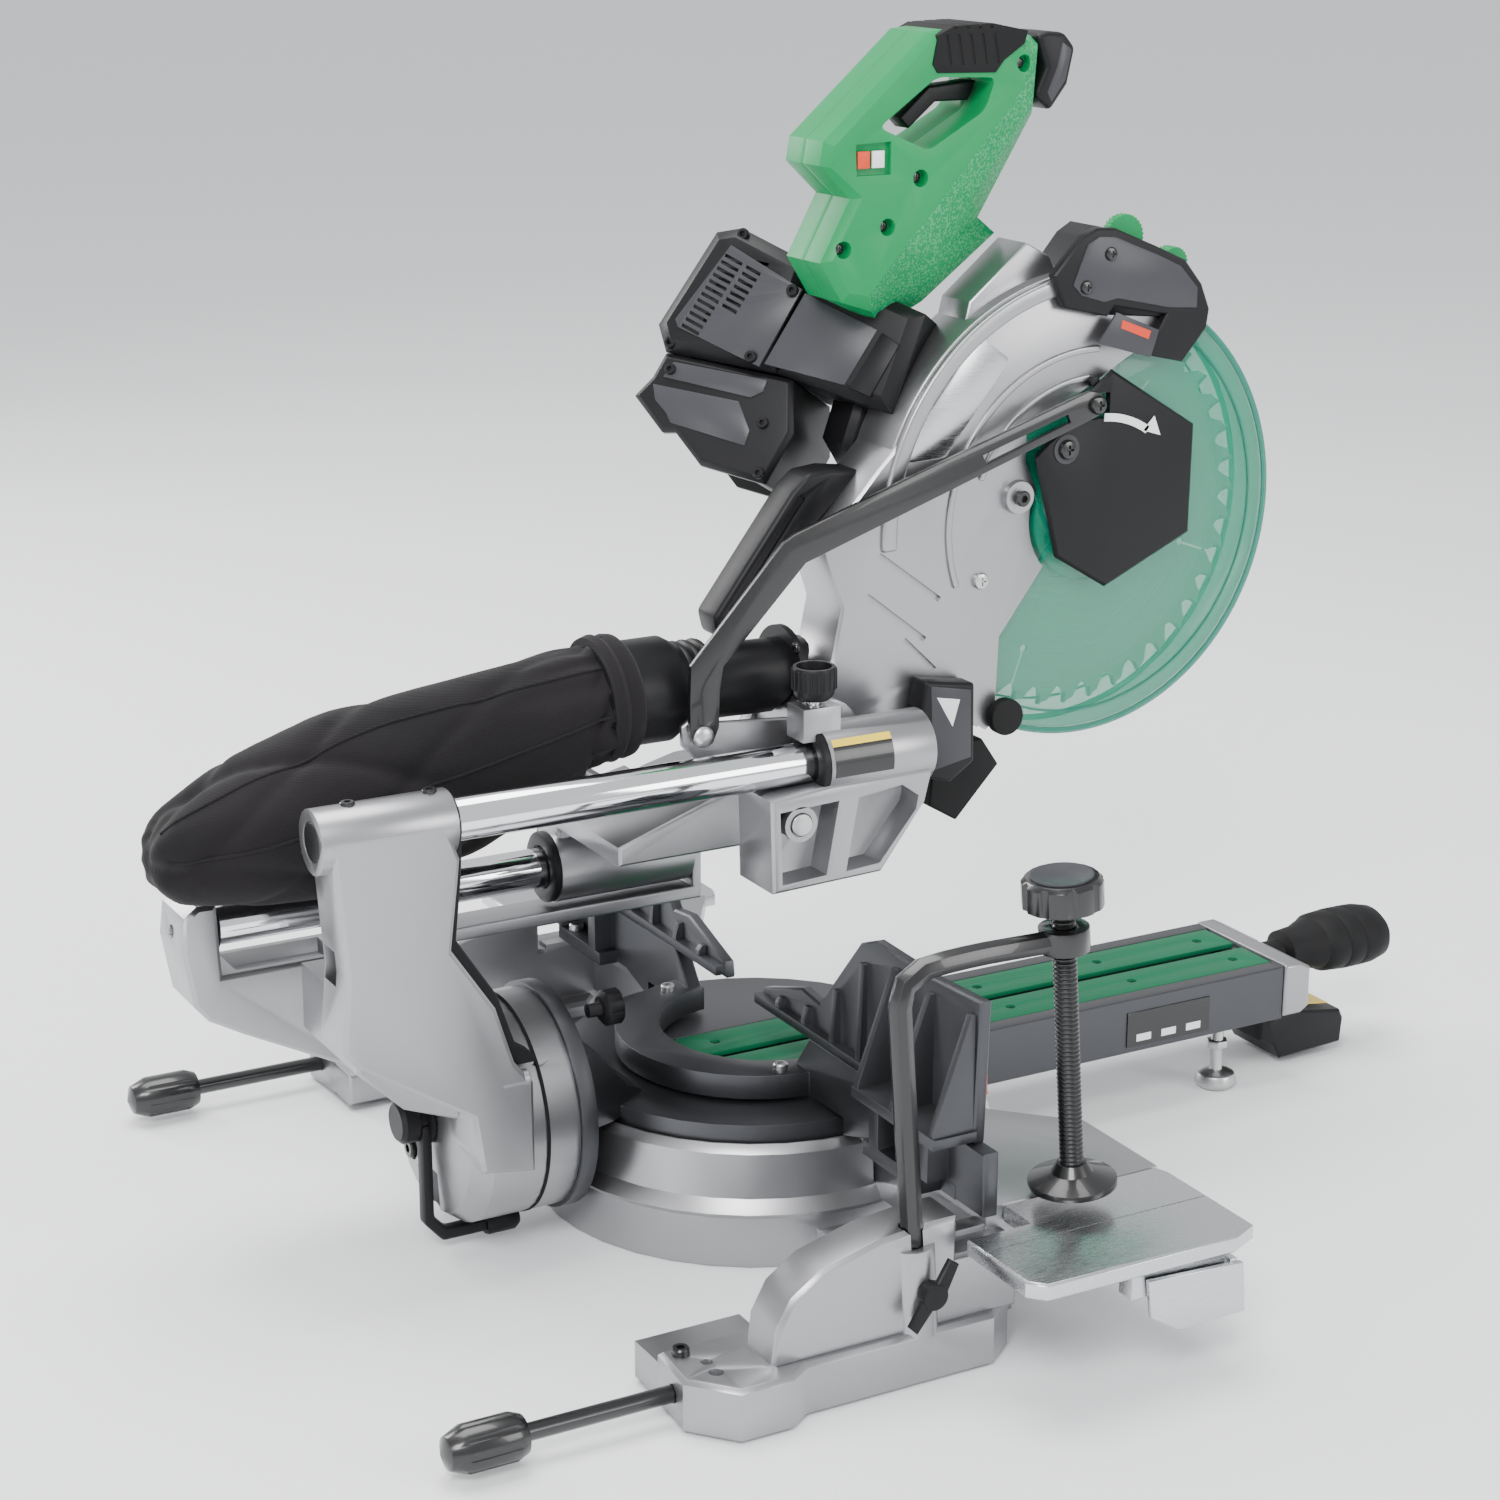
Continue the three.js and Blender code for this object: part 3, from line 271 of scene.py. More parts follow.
# %% Metal finishes
def satin_casting(name, color, roughness, grain=900):
    paint = Paint(name, color, roughness, Metallic=0.95)
    clouds = paint.noise(14, 3)
    fine = paint.noise(grain, 2)
    paint.use(Base_Color=paint.blend(clouds, shade(color, 0.93), shade(color, 1.05)))
    paint.use(Roughness=roughness - 0.06 + clouds * 0.1 + fine * 0.06)
    return paint.bump(fine, 0.12, 0.0003)

def brushed(name, color, roughness, stretch):
    paint = Paint(name, color, roughness, Metallic=1.0)
    lines = paint.noise(60, 4, 0.6, paint.stretched(stretch))
    paint.use(Base_Color=paint.blend(lines, shade(color, 0.85), color))
    paint.use(Roughness=roughness - 0.08 + lines * 0.2)
    return paint.bump(lines, 0.08, 0.0002)

def polished_chrome():
    paint = Paint("hard_chrome", (0.82, 0.83, 0.85), 0.07, Metallic=1.0)
    film = paint.noise(30, 4)
    return paint.use(Roughness=0.05 + film * 0.07)

CASTING = satin_casting("satin_casting", (0.37, 0.37, 0.382), 0.33)
DARK_CASTING = satin_casting("dark_casting", (0.085, 0.087, 0.094), 0.4)
MACHINED = brushed("machined_plate", (0.62, 0.63, 0.645), 0.25, (14, 1, 14))
CHROME = polished_chrome()
ZINC = brushed("zinc_steel", (0.6, 0.6, 0.6), 0.32, (4, 4, 4))
print("metals", len(bpy.data.materials))

# %% [markdown]
# ## Plastics, rubber, paint and cloth
#
# Moulded plastic has a fine spark-eroded grain that scatters the highlight. The
# green one is speckled with lighter flakes on its inset faces. The guard is clear
# polycarbonate with a green tint, so the blade shows through it.

# %% Plastic finishes
def moulded(name, color, roughness, grain=1400, depth=0.15):
    paint = Paint(name, color, roughness, Specular_IOR_Level=0.22)
    fine = paint.noise(grain, 2)
    clouds = paint.noise(20, 2)
    paint.use(Base_Color=paint.blend(clouds, shade(color, 0.88), shade(color, 1.1)))
    paint.use(Roughness=roughness - 0.05 + clouds * 0.1)
    return paint.bump(fine, depth, 0.0003)

def speckled(name, color, fleck, share):
    paint = Paint(name, color, 0.5, Specular_IOR_Level=0.22)
    flakes = paint.ramp(paint.noise(520, 2, 0.6), 1 - share, 1 - share + 0.06)
    paint.use(Base_Color=paint.blend(flakes, color, fleck), Roughness=0.5 - flakes * 0.08)
    return paint.bump(paint.noise(1300, 2), 0.12, 0.0003)

def tinted_clear():
    paint = Paint("tinted_guard", (0.0, 0.36, 0.2), 0.07, IOR=1.45)
    haze = paint.noise(8, 3)
    paint.use(Alpha=0.29 + haze * 0.06, Roughness=0.05 + haze * 0.06)
    return paint

def satin_paint(name, color, roughness):
    paint = Paint(name, color, roughness, Coat_Weight=0.35)
    orange_peel = paint.noise(240, 2)
    paint.use(Roughness=roughness - 0.05 + orange_peel * 0.1)
    return paint.bump(orange_peel, 0.08, 0.0003)

def woven():
    paint = Paint("bag_cloth", (0.009, 0.008, 0.0095), 0.85, Sheen_Weight=0.06, Sheen_Roughness=0.5,
        Specular_IOR_Level=0.15)
    threads = {"Vector": paint.place, "Scale": 260}
    warp = paint.node("ShaderNodeTexWave", {"bands_direction": "Y"}, threads, "Fac")
    weft = paint.node("ShaderNodeTexWave", {"bands_direction": "Z"}, threads, "Fac")
    weave = warp * 0.5 + weft * 0.5
    clouds = paint.noise(12, 4)
    paint.use(Base_Color=paint.blend(clouds, (0.005, 0.0045, 0.005), (0.015, 0.013, 0.015)))
    return paint.bump(weave + clouds * 0.6, 0.35, 0.0006)

GREEN = moulded("green_handle", (0.0, 0.24, 0.07), 0.38)
GREEN_FLECK = speckled("green_speckle", (0.0, 0.23, 0.075), (0.05, 0.33, 0.13), 0.5)
BOARD = moulded("kerf_board_green", (0.0, 0.12, 0.05), 0.5)
CLEAR_GREEN = tinted_clear()
BLACK = moulded("black_plastic", (0.008, 0.008, 0.009), 0.42)
RUBBER = moulded("black_rubber", (0.006, 0.006, 0.0065), 0.62, 700, 0.25)
BLACK_STEEL = satin_paint("black_steel", (0.005, 0.005, 0.0055), 0.3)
WHITE = satin_paint("white_plate", (0.8, 0.81, 0.82), 0.4)
RED = moulded("red_plastic", (0.68, 0.06, 0.025), 0.4)
YELLOW = satin_paint("yellow_label", (0.85, 0.62, 0.04), 0.35)
CLOTH = woven()
STUDIO_PAPER = Paint("studio_paper", (0.88, 0.89, 0.9), 0.95, Specular_IOR_Level=0.1)
FLOOR.data.materials.append(STUDIO_PAPER.material)
print("materials", len(bpy.data.materials))

# %% [markdown]
# ## Blade steel, guard rim and small parts
#
# The blade keeps the rings of the lathe, so its pattern follows the distance from the
# arbor. Where one looks along the wall of the clear guard the plastic is far denser.

# %% Blade, rim and small finishes
def turned_steel():
    """Concentric lines round the arbor, as a lathe leaves them."""
    paint = Paint("blade_plate", (0.72, 0.73, 0.73), 0.3, Metallic=1.0)
    centred = paint.node("ShaderNodeMapping", inputs={"Vector": paint.place, "Location": (0, 0.2715, -0.4855),
        "Scale": (0, 1, 1)})
    radius = paint.node("ShaderNodeVectorMath", {"operation": "LENGTH"}, {0: centred}, "Value")
    rings = paint.node("ShaderNodeTexNoise", {"noise_dimensions": "1D"}, {"W": radius * 900, "Detail": 3},
        "Fac")
    paint.use(Base_Color=paint.blend(rings, (0.24, 0.25, 0.245), (0.5, 0.52, 0.51)))
    paint.use(Roughness=0.2 + rings * 0.22)
    return paint.bump(rings, 0.06, 0.0002)

def tinted_edge():
    """The rim of the clear guard, where one looks through much more of the plastic."""
    paint = Paint("tinted_edge", (0.0, 0.2, 0.13), 0.12, IOR=1.45)
    haze = paint.noise(20, 2)
    return paint.use(Alpha=0.68 + haze * 0.1, Roughness=0.08 + haze * 0.08)

BLADE_STEEL = turned_steel()
GUARD_EDGE = tinted_edge()
PANEL = moulded("moulded_panel", (0.05, 0.05, 0.056), 0.3, 1600, 0.1)
CARBIDE = satin_paint("carbide", (0.2, 0.21, 0.205), 0.35)
# Near black: the real dark marks and seams, and painted shade in the vent behind the motor slots.
SHADE_AND_DARK_MARKS = moulded("painted_shade_and_dark_marks", (0.006, 0.006, 0.006), 0.8)

PAINT_OF_SLOT = {"casting": CASTING, "dark_casting": DARK_CASTING, "machined": MACHINED,
    "chrome_tube": CHROME, "green_plastic": GREEN, "board_green": BOARD, "clear_green": CLEAR_GREEN,
    "black_plastic": BLACK, "black_rubber": RUBBER, "black_steel": BLACK_STEEL, "saw_steel": MACHINED,
    "bag_fabric": CLOTH, "white_plate": WHITE, "red_plastic": RED, "zinc_steel": ZINC}
print("slots with a paint", len(PAINT_OF_SLOT))

# %% [markdown]
# ## Rounded copies
#
# Many sub-parts have the right shape but knife-sharp edges. A cast or moulded part
# never has those. Such a part is copied, its loose triangles are merged, and every
# sharp edge gets a small round, which catches the light as the real one does.

# %% Finishing and rounding
def finish(piece, paint, like, replaces=True):
    """Give a piece its material and the body of the sub-part it is like, and hide that sub-part if the piece
    replaces it.
    """
    piece.data.materials.clear()
    piece.data.materials.append(paint.material)
    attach(piece, BODY_OF[like])
    if replaces:
        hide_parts(like)
    return piece

def detail(piece, paint, like, width=0, segments=2):
    """A small extra piece on a sub-part, with its edges rounded if it has a width."""
    if width:
        soften(piece, width, segments)
    return finish(piece, paint, like, replaces=False)

def rounded(node, width, paint=None, segments=2, limit=35):
    piece = bpy.data.objects.new(node + "_shape", frame["nodes"][node].data.copy())
    bpy.context.scene.collection.objects.link(piece)
    open_mesh(piece)
    bpy.ops.mesh.select_all(action="SELECT")
    bpy.ops.mesh.remove_doubles(threshold=MERGE_LOOSE)
    bpy.ops.mesh.dissolve_limited(angle_limit=radians(1))
    bpy.ops.object.mode_set(mode="OBJECT")
    soften(piece, width, segments, limit)
    return finish(piece, paint or PAINT_OF_SLOT[SLOT_OF[node]], node)

ROUNDING = {"base_casting": 2.0, "fence_casting": 1.2, "left_sub_fence": 1.2, "right_sub_fence": 1.2,
    "wing_stop": 0.6, "clamp_wing_bolt": 0.8, "clamp_post": 0.6, "clamp_screw": 0.6, "turntable": 1.0,
    "left_kerf_board": 0.4, "right_kerf_board": 0.4, "arm_end_cap": 1.6, "detent_lever": 2.0,
    "arm_foot": 0.5, "mitre_scale": 0.2, "left_rear_rod": 0.8, "right_rear_rod": 0.8,
    "bevel_set_pin": 0.8, "bevel_arm": 2.0, "upper_rail": 0.5, "lower_rail": 0.5, "rail_plug": 0.5,
    "lower_rail_bracket": 0.8, "arm_cover": 0.8, "carriage": 1.6, "hinge_pin": 0.6, "hold_down_pin": 0.6,
    "link_screw": 0.5, "hex_cover": 1.4, "gear_case": 2.0, "motor_housing": 3.0, "motor_end_cap": 3.0,
    "battery_mount": 2.0, "trigger": 1.5, "laser_button": 0.4, "light_button": 0.4, "laser_housing": 2.0,
    "light_box": 1.5, "dust_flap": 1.0, "dust_duct": 0.8, "guard_roller": 1.0}
for node, width in ROUNDING.items():
    rounded(node, width)
print("rounded", len(ROUNDING))

# %% [markdown]
# ## Ways to make a new solid
#
# Most pieces of a machine are an outline pushed straight, or a profile turned about an
# axis. Each is made as by hand: a point is extruded round the outline, filled, and
# then extruded or spun. On the head, places are counted from the blade's arbor.

# %% Trace, sweep and spin
ARBOR_Y = -271.5
ARBOR_Z = 485.5

def at_head(x, y, z):
    return (x, ARBOR_Y + y, ARBOR_Z + z)

def trace(name, points):
    """Extrude a single point from corner to corner; edit mode stays open."""
    bpy.ops.object.select_all(action="DESELECT")
    bpy.ops.mesh.primitive_plane_add(size=0.001, location=mm(*points[0]))
    piece = bpy.context.object
    piece.name = name
    bpy.ops.object.transform_apply(location=True)
    bpy.ops.object.mode_set(mode="EDIT")
    bpy.ops.mesh.merge(type="CENTER")
    corner = mm(*points[0])
    for point in points[1:]:
        bpy.ops.mesh.extrude_region_move(TRANSFORM_OT_translate={"value": mm(*point) - corner})
        corner = mm(*point)
    bpy.ops.mesh.select_all(action="SELECT")
    return piece

def swept(name, points, sweep):
    """A closed outline, filled and pushed straight."""
    piece = trace(name, points)
    bpy.ops.mesh.edge_face_add()
    bpy.ops.mesh.extrude_region_move(TRANSFORM_OT_translate={"value": mm(*sweep)})
    close_mesh(piece)
    return piece

def across(name, outline, x0, x1, centre=(0, 0)):
    """An outline of (y, z) pairs, pushed from x0 to x1."""
    return swept(name, [(x0, centre[0] + y, centre[1] + z) for y, z in outline], (x1 - x0, 0, 0))

def on_head(name, outline, x0, x1):
    """The same, with the outline counted from the arbor."""
    return across(name, outline, x0, x1, (ARBOR_Y, ARBOR_Z))

def turned(name, profile, start, way, steps=48):
    """A profile of (radius, height) pairs, spun once round the line from start."""
    way = Vector(way).normalized()
    side = way.orthogonal().normalized()
    corners = [Vector(start) + side * radius + way * height for radius, height in profile]
    piece = trace(name, corners)
    bpy.ops.mesh.spin(steps=steps, angle=2 * pi, center=mm(*start), axis=way)
    close_mesh(piece)
    bpy.ops.object.shade_smooth_by_angle(angle=SMOOTH_BELOW)
    return piece

def spun_part(name, section, angles, steps, centre, axis):
    """A closed section, filled and spun from the first angle to the second."""
    piece = trace(name, section)
    bpy.ops.mesh.edge_face_add()
    bpy.ops.mesh.spin(steps=steps, angle=radians(angles[1] - angles[0]), center=centre, axis=axis)
    close_mesh(piece)
    return piece

def ring_arc(name, radii, x_range, angles, steps=48):
    """A bar of square section, spun part of the way round the arbor, 0 to the rear."""
    turn = radians(angles[0])
    (near, far), (x0, x1) = radii, x_range
    section = [(x, ARBOR_Y + r * cos(turn), ARBOR_Z + r * sin(turn))
        for r, x in ((near, x0), (far, x0), (far, x1), (near, x1))]
    return spun_part(name, section, angles, steps, mm(0, ARBOR_Y, ARBOR_Z), (-1, 0, 0))

print("ways to push and spin", [way.__name__ for way in (swept, across, on_head, turned, ring_arc)])

# %% [markdown]
# Some shapes change along their length, so a filled ring is extruded onto the next
# one. A bar follows a line of points. A cutter is taken off with a boolean.

# %% Loft, bar, cut, join and copy
def lofted(name, rings):
    """Fill the first ring, then extrude it onto each next ring, corner by corner."""
    piece = trace(name, rings[0])
    bpy.ops.mesh.edge_face_add()
    for before, after in zip(rings, rings[1:]):
        bpy.ops.mesh.extrude_region_move(TRANSFORM_OT_translate={"value": (0, 0, 0)})
        bpy.ops.object.mode_set(mode="OBJECT")
        for vertex in piece.data.vertices:
            if vertex.select:
                nearest = min(range(len(before)), key=lambda i: (mm(*before[i]) - vertex.co).length)
                vertex.co = mm(*after[nearest])
        bpy.ops.object.mode_set(mode="EDIT")
    close_mesh(piece)
    return piece

def bar_along(name, points, radius):
    """A round bar through a list of points, with its ends closed."""
    curve = bpy.data.curves.new(name, "CURVE")
    curve.dimensions = "3D"
    curve.bevel_depth = radius / 1000
    curve.bevel_resolution = 2
    curve.use_fill_caps = True
    spline = curve.splines.new("POLY")
    spline.points.add(len(points) - 1)
    for knot, point in zip(spline.points, points):
        knot.co = (*mm(*point), 1)
    piece = bpy.data.objects.new(name, curve)
    bpy.context.scene.collection.objects.link(piece)
    pick(piece)
    bpy.ops.object.convert(target="MESH")
    piece = bpy.context.object
    open_mesh(piece)
    close_mesh(piece)
    bpy.ops.object.shade_smooth_by_angle(angle=SMOOTH_BELOW)
    return piece

def cut_with(piece, *cutters):
    """Take each cutter off the piece and throw it away."""
    for cutter in cutters:
        apply_modifier(piece, "BOOLEAN", operation="DIFFERENCE", object=cutter, solver="EXACT")
        bpy.data.objects.remove(cutter)
    return piece

def joined(name, pieces):
    """Several pieces as one object."""
    pick(pieces[0])
    for piece in pieces:
        piece.select_set(True)
    bpy.ops.object.join()
    pieces[0].name = name
    return pieces[0]

def copied(template, name, place, way, scale=1.0):
    """A copy with its own mesh, its Z turned to `way`."""
    piece = template.copy()
    piece.data = template.data.copy()
    piece.name = name
    bpy.context.scene.collection.objects.link(piece)
    turn = Vector(way).to_track_quat("Z", "Y").to_matrix().to_4x4()
    piece.matrix_world = Matrix.Translation(mm(*place)) @ turn @ Matrix.Scale(scale, 4)
    pick(piece)
    bpy.ops.object.transform_apply(location=True, rotation=True, scale=True)
    return piece

print("ways to shape and copy", [way.__name__ for way in (lofted, bar_along, cut_with, joined, copied)])

# %% [markdown]
# ## Screws
#
# Two screws hold the whole saw together to the eye: a pan head with a cross and a cap
# screw with a hexagon socket. Each is turned and cut once, and then copied.

# %% Two screws to copy
UPWARDS = (0, 0, 1)
TO_LEFT = (-1, 0, 0)
REARWARDS = (0, 1, 0)

def cross_screw():
    """A pan head, 10 mm across, with a cross cut in it."""
    profile = [(0, 0), (5, 0), (5, 1.4), (4.2, 2.6), (2.4, 3.1), (0, 3.2)]
    head = turned("cross_screw", profile, (0, 0, 0), UPWARDS, 24)
    for wide, deep in ((2.6, 0.5), (0.5, 2.6)):
        corners = [(-wide, -deep, 1.6), (wide, -deep, 1.6), (wide, deep, 1.6), (-wide, deep, 1.6)]
        cut_with(head, swept("slot", corners, (0, 0, 4)))
    return head

def socket_screw():
    """A cap screw, 12 mm across, with a hexagon socket."""
    profile = [(0, 0), (6, 0), (6, 4.6), (5.2, 5.6), (0, 5.6)]
    head = turned("socket_screw", profile, (0, 0, 0), UPWARDS, 28)
    corners = [(3 * cos(i * pi / 3), 3 * sin(i * pi / 3), 2.4) for i in range(6)]
    return cut_with(head, swept("socket", corners, (0, 0, 6)))

CROSS = cross_screw()
SOCKET = socket_screw()

def screws(name, template, places, way, paint, like, scale=1.0):
    """The same screw at several places, as one piece."""
    pieces = [copied(template, name, place, way, scale) for place in places]
    return detail(joined(name, pieces), paint, like)

print("screw faces", len(CROSS.data.polygons), len(SOCKET.data.polygons))

# %% [markdown]
# ## The D handle
#
# Two green shells meet on the middle plane of the handle. The side is flat, and below
# and in front a wide facet falls away from a straight crease. So each shell is a
# loft of four rings: the seam, the widest line, the crease and the flat face.

# %% Handle shells
SHELL_SIDE = [(216, 265), (213, 282), (130, 354), (111, 356), (78, 357), (44, 351), (24, 347), (26, 292),
    (71, 219), (56, 207), (118, 161), (146, 148), (156, 149), (197, 168), (215, 197), (191, 241)]
SHELL_CREASE = [(216, 265), (213, 282), (130, 354), (111, 356), (78, 357), (50, 349), (35, 341), (38, 300),
    (88, 236), (118, 199), (151, 189), (166, 172), (172, 160), (197, 168), (215, 197), (191, 241)]
SHELL_FACE = [(210, 264), (207, 279), (128, 348), (111, 350), (79, 351), (56, 344), (47, 336), (50, 313),
    (101, 256), (122, 232), (148, 206), (170, 181), (178, 172), (194, 175), (208, 199), (184, 242)]
FINGER_GAP = [(171, 290), (124, 323), (74, 321), (83, 298), (130, 272)]
SHELL_SCREWS = [(136, 253), (163, 220), (199, 206), (50, 330)]
SWITCH_PANEL = [(190, 279), (161, 280), (161, 257), (189, 257)]

def head_ring(outline, x):
    return [at_head(x, y, z) for y, z in outline]

def handle_shell(node, seam, wide, crease, face):
    inward = 1 if face > seam else -1
    shell = lofted(node + "_moulding", [head_ring(SHELL_SIDE, seam), head_ring(SHELL_SIDE, wide),
        head_ring(SHELL_CREASE, crease), head_ring(SHELL_FACE, face)])
    gap = on_head("gap", FINGER_GAP, -12, 72)
    soften(gap, 6, 4)
    cut_with(shell, gap)
    for y, z in SHELL_SCREWS:
        start = at_head(face + inward * 2, y, z)
        cut_with(shell, turned("well", [(0, 0), (6.4, 0), (5.6, 10), (0, 10)], start, (-inward, 0, 0), 24))
    if face == 0:
        cut_with(shell, on_head("panel", SWITCH_PANEL, -3, 4.2))
    soften(shell, 1.8, 3, 24)
    finish(shell, GREEN, node)
    shell.data.materials.append(GREEN_FLECK.material)
    for polygon in shell.data.polygons:
        slanted = 0.2 < abs(polygon.normal.x) < 0.97
        polygon.material_index = int(slanted and polygon.normal.y < -0.12 and polygon.area > 3e-5)
    return shell

handle_shell("left_handle_shell", 29.85, 25, 6, 0)
handle_shell("right_handle_shell", 30.15, 35, 54, 60)
screws("handle_screws", CROSS, head_ring(SHELL_SCREWS, 8.5), TO_LEFT, BLACK_STEEL, "left_handle_shell", 0.8)
print("handle screws", len(SHELL_SCREWS))

# %% [markdown]
# The grip on top of the D is a rubber insert with cross ribs. In front of it a second
# rubber pad wraps the corner that a hand knocks first.

# %% Grip insert and corner pad
def grip_insert():
    outline = [(124, 352), (111, 358), (78, 359), (48, 353), (51, 344), (68, 333), (75, 324.6), (124, 325.8),
        (128, 332)]
    grip = on_head("grip_insert", outline, -1.2, 61.2)
    grooves = []
    for y in (58, 68, 78, 88, 98, 108):
        across_top = [(y, 355.6), (y + 2.2, 355.6), (y + 2.2, 362), (y, 362)]
        grooves.append(on_head("groove", across_top, -5, 65))
    for y in (72, 82, 92, 102, 112):
        slanted = [(y, 331), (y + 2, 331), (y + 6, 352), (y + 4, 352)]
        grooves.append(on_head("groove", slanted, -4, -0.4))
        grooves.append(on_head("groove", slanted, 60.4, 64))
    cut_with(grip, *grooves)
    soften(grip, 1.4, 2, 30)
    return finish(grip, RUBBER, "grip_pad")

grip_insert()
PAD_SIDE = [(22, 351), (9, 350), (-1, 339), (5, 313), (20, 294), (34, 306), (24, 326), (34, 349)]
INLAY_SIDE = [(12, 344), (3, 338), (8, 316), (20, 300), (24, 308), (16, 326)]
detail(on_head("corner_pad", PAD_SIDE, 9, 51), BLACK, "grip_pad", 4, 3)
detail(on_head("corner_pad_inlay", INLAY_SIDE, 8, 52), PANEL, "grip_pad", 1.5)
print("grip insert and pad")

# %% [markdown]
# ## Upper guard
#
# The guard is one large casting. Its rim is a thick rounded band, two raised arcs run
# round the hub, and three slanted grooves mark the leg. The blank plate between the
# arcs and the rim is where a maker would put a name.

# %% Rim, arcs and grooves
def head_band(name, radii, x_range, angles, width, like="upper_guard", paint=CASTING):
    return detail(ring_arc(name, radii, x_range, angles, 60), paint, like, width, 3)

head_band("guard_rim_band", (169, 182), (-30.4, -24), (-3, 116), 2.6)
head_band("guard_rim_edge", (176, 183.2), (-24.5, 27), (-3, 100), 2.0)
head_band("guard_outer_arc", (122, 127), (-29.2, -26), (-20, 92), 1.2)
head_band("guard_inner_arc", (101, 106), (-28.8, -26), (20, 88), 1.2)
head_band("guard_far_band", (169, 182), (24, 30.4), (-3, 116), 2.6)
GROOVES = [((183, -11), (131, -50)), ((193, -40), (143, -79)), ((161, -77), (134, -103))]

def guard_with_grooves():
    guard = rounded("upper_guard", 2.0)
    for (y0, z0), (y1, z1) in GROOVES:
        way = Vector((y1 - y0, z1 - z0)).normalized()
        side = Vector((-way.y, way.x)) * 2.1
        ends = ((y0, z0, 1), (y1, z1, 1), (y1, z1, -1), (y0, z0, -1))
        corners = [(y + side.x * sign, z + side.y * sign) for y, z, sign in ends]
        cut_with(guard, on_head("groove", corners, -40, -23.4))
    return guard

guard_with_grooves()
print("grooves", len(GROOVES))

# %% [markdown]
# Plates, a boss and two screws finish the side of the guard. The plates are blank.

# %% Plates and boss
NAME_PLATE = [(102, 141), (97, 139), (76, 124), (77, 119), (128, 56), (133, 55), (164, 54), (168, 58)]
detail(on_head("blank_plate", NAME_PLATE, -27.8, -26.6), MACHINED, "upper_guard", 0.5)
SIGN = [(-11, 152), (-50, 136), (-43, 116), (4, 130)]
detail(on_head("pictogram_plate", SIGN, -38.6, -36.6), PANEL, "laser_housing", 0.5)
SIGN_MARK = [(-16, 146), (-42, 136), (-40, 130), (-15, 140)]
detail(on_head("pictogram_mark", SIGN_MARK, -39.0, -38.5), RED, "laser_housing")
boss = turned("guard_boss", [(0, 0), (13, 0), (12, 5), (0, 5)], at_head(-26.5, 65, 20), TO_LEFT)
detail(boss, CASTING, "upper_guard")
screws("guard_boss_screw", SOCKET, [at_head(-31.4, 65, 20)], TO_LEFT, BLACK_STEEL, "upper_guard")
screws("guard_screw", CROSS, [at_head(-26.8, 96, -40)], TO_LEFT, ZINC, "upper_guard", 1.3)
print("guard details")

# %% [markdown]
# ## Centre cover, blade and lower guard
#
# The blade is a plate with forty teeth. Each tooth has a steep face, a long back and a
# round gullet, and a small block of carbide is brazed to its face. Thin slots let the
# rim grow as it warms. The plate keeps the fine rings of the lathe.

# %% Blade plate, tips and flanges
BLADE_R = 152.5
TEETH = 40
TOOTH = [(0, 0), (-2.6, 3.2), (-8, 4.6), (-13, 6.4), (-11, 8.0), (-5, 8.7)]

def blade_point(radius, degrees):
    turn = radians(degrees)
    return radius * cos(turn), radius * sin(turn)

def blade_plate():
    outline = []
    for tooth in range(TEETH):
        for depth, turn in TOOTH:
            outline.append(blade_point(BLADE_R + depth, -360 * tooth / TEETH - turn))
    plate = on_head("blade_plate", outline, -1.1, 1.1)
    slots = []
    for turn in (20, 110, 200, 290):
        way, side = Vector(blade_point(1, turn)), Vector(blade_point(1, turn + 90))
        corners = [way * r + side * s for r, s in ((112, -0.8), (150, -0.8), (150, 0.8), (112, 0.8))]
        slots.append(on_head("slot", [tuple(c) for c in corners], -4, 4))
        end = at_head(-4, *(way * 112))
        slots.append(turned("slot_end", [(0, 0), (3, 0), (3, 8), (0, 8)], end, (1, 0, 0), 16))
    cut_with(plate, *slots)
    return finish(plate, BLADE_STEEL, "blade")

def carbide_tips():
    foot, tip = BLADE_R - 8, BLADE_R + 0.6
    block = on_head("tip", [(foot, -1.4), (tip, -1.8), (tip, 0.8), (foot, 0.9)], -1.7, 1.7)
    soften(block, 0.3, 1)
    tips = []
    for tooth in range(TEETH):
        tip = block.copy()
        tip.data = block.data.copy()
        bpy.context.scene.collection.objects.link(tip)
        spin = Matrix.Rotation(radians(-360 * tooth / TEETH), 4, "X")
        arbor = Matrix.Translation(mm(0, ARBOR_Y, ARBOR_Z))
        tip.matrix_world = arbor @ spin @ arbor.inverted()
        pick(tip)
        bpy.ops.object.transform_apply(location=True, rotation=True, scale=True)
        tips.append(tip)
    bpy.data.objects.remove(block)
    return detail(joined("carbide_tips", tips), CARBIDE, "blade")

blade_plate()
carbide_tips()
FLANGE_SIDE = [(0, -14), (12, -14), (12, -7), (24, -7), (26, -5), (26, 5), (24, 7), (12, 7), (12, 48),
    (0, 48)]
detail(turned("blade_flanges", FLANGE_SIDE, at_head(0, 0, 0), (1, 0, 0)), ZINC, "blade")
print("teeth", TEETH)

# %% [markdown]
# The lower guard is clear. Its walls let the blade show, while its rim and its cut
# edge look dark green, because there one looks along the plastic. So those faces get
# a denser paint, and the moulded ridges are solids of their own.

# %% Lower guard
RIM_FROM = 166.8
GUARD_CUT = [(-94, 168), (-90, 150), (22, 88), (58, 73), (58, 45), (28, -19), (78, -84), (81, -135)]

def lower_guard():
    shell = rounded("lower_guard", 0.4)
    shell.data.materials.append(GUARD_EDGE.material)
    for polygon in shell.data.polygons:
        out = polygon.center - mm(0, ARBOR_Y, ARBOR_Z)
        radius = hypot(out.y, out.z) * 1000
        polygon.material_index = int(radius > RIM_FROM and abs(polygon.normal.x) < 0.7)
    return shell

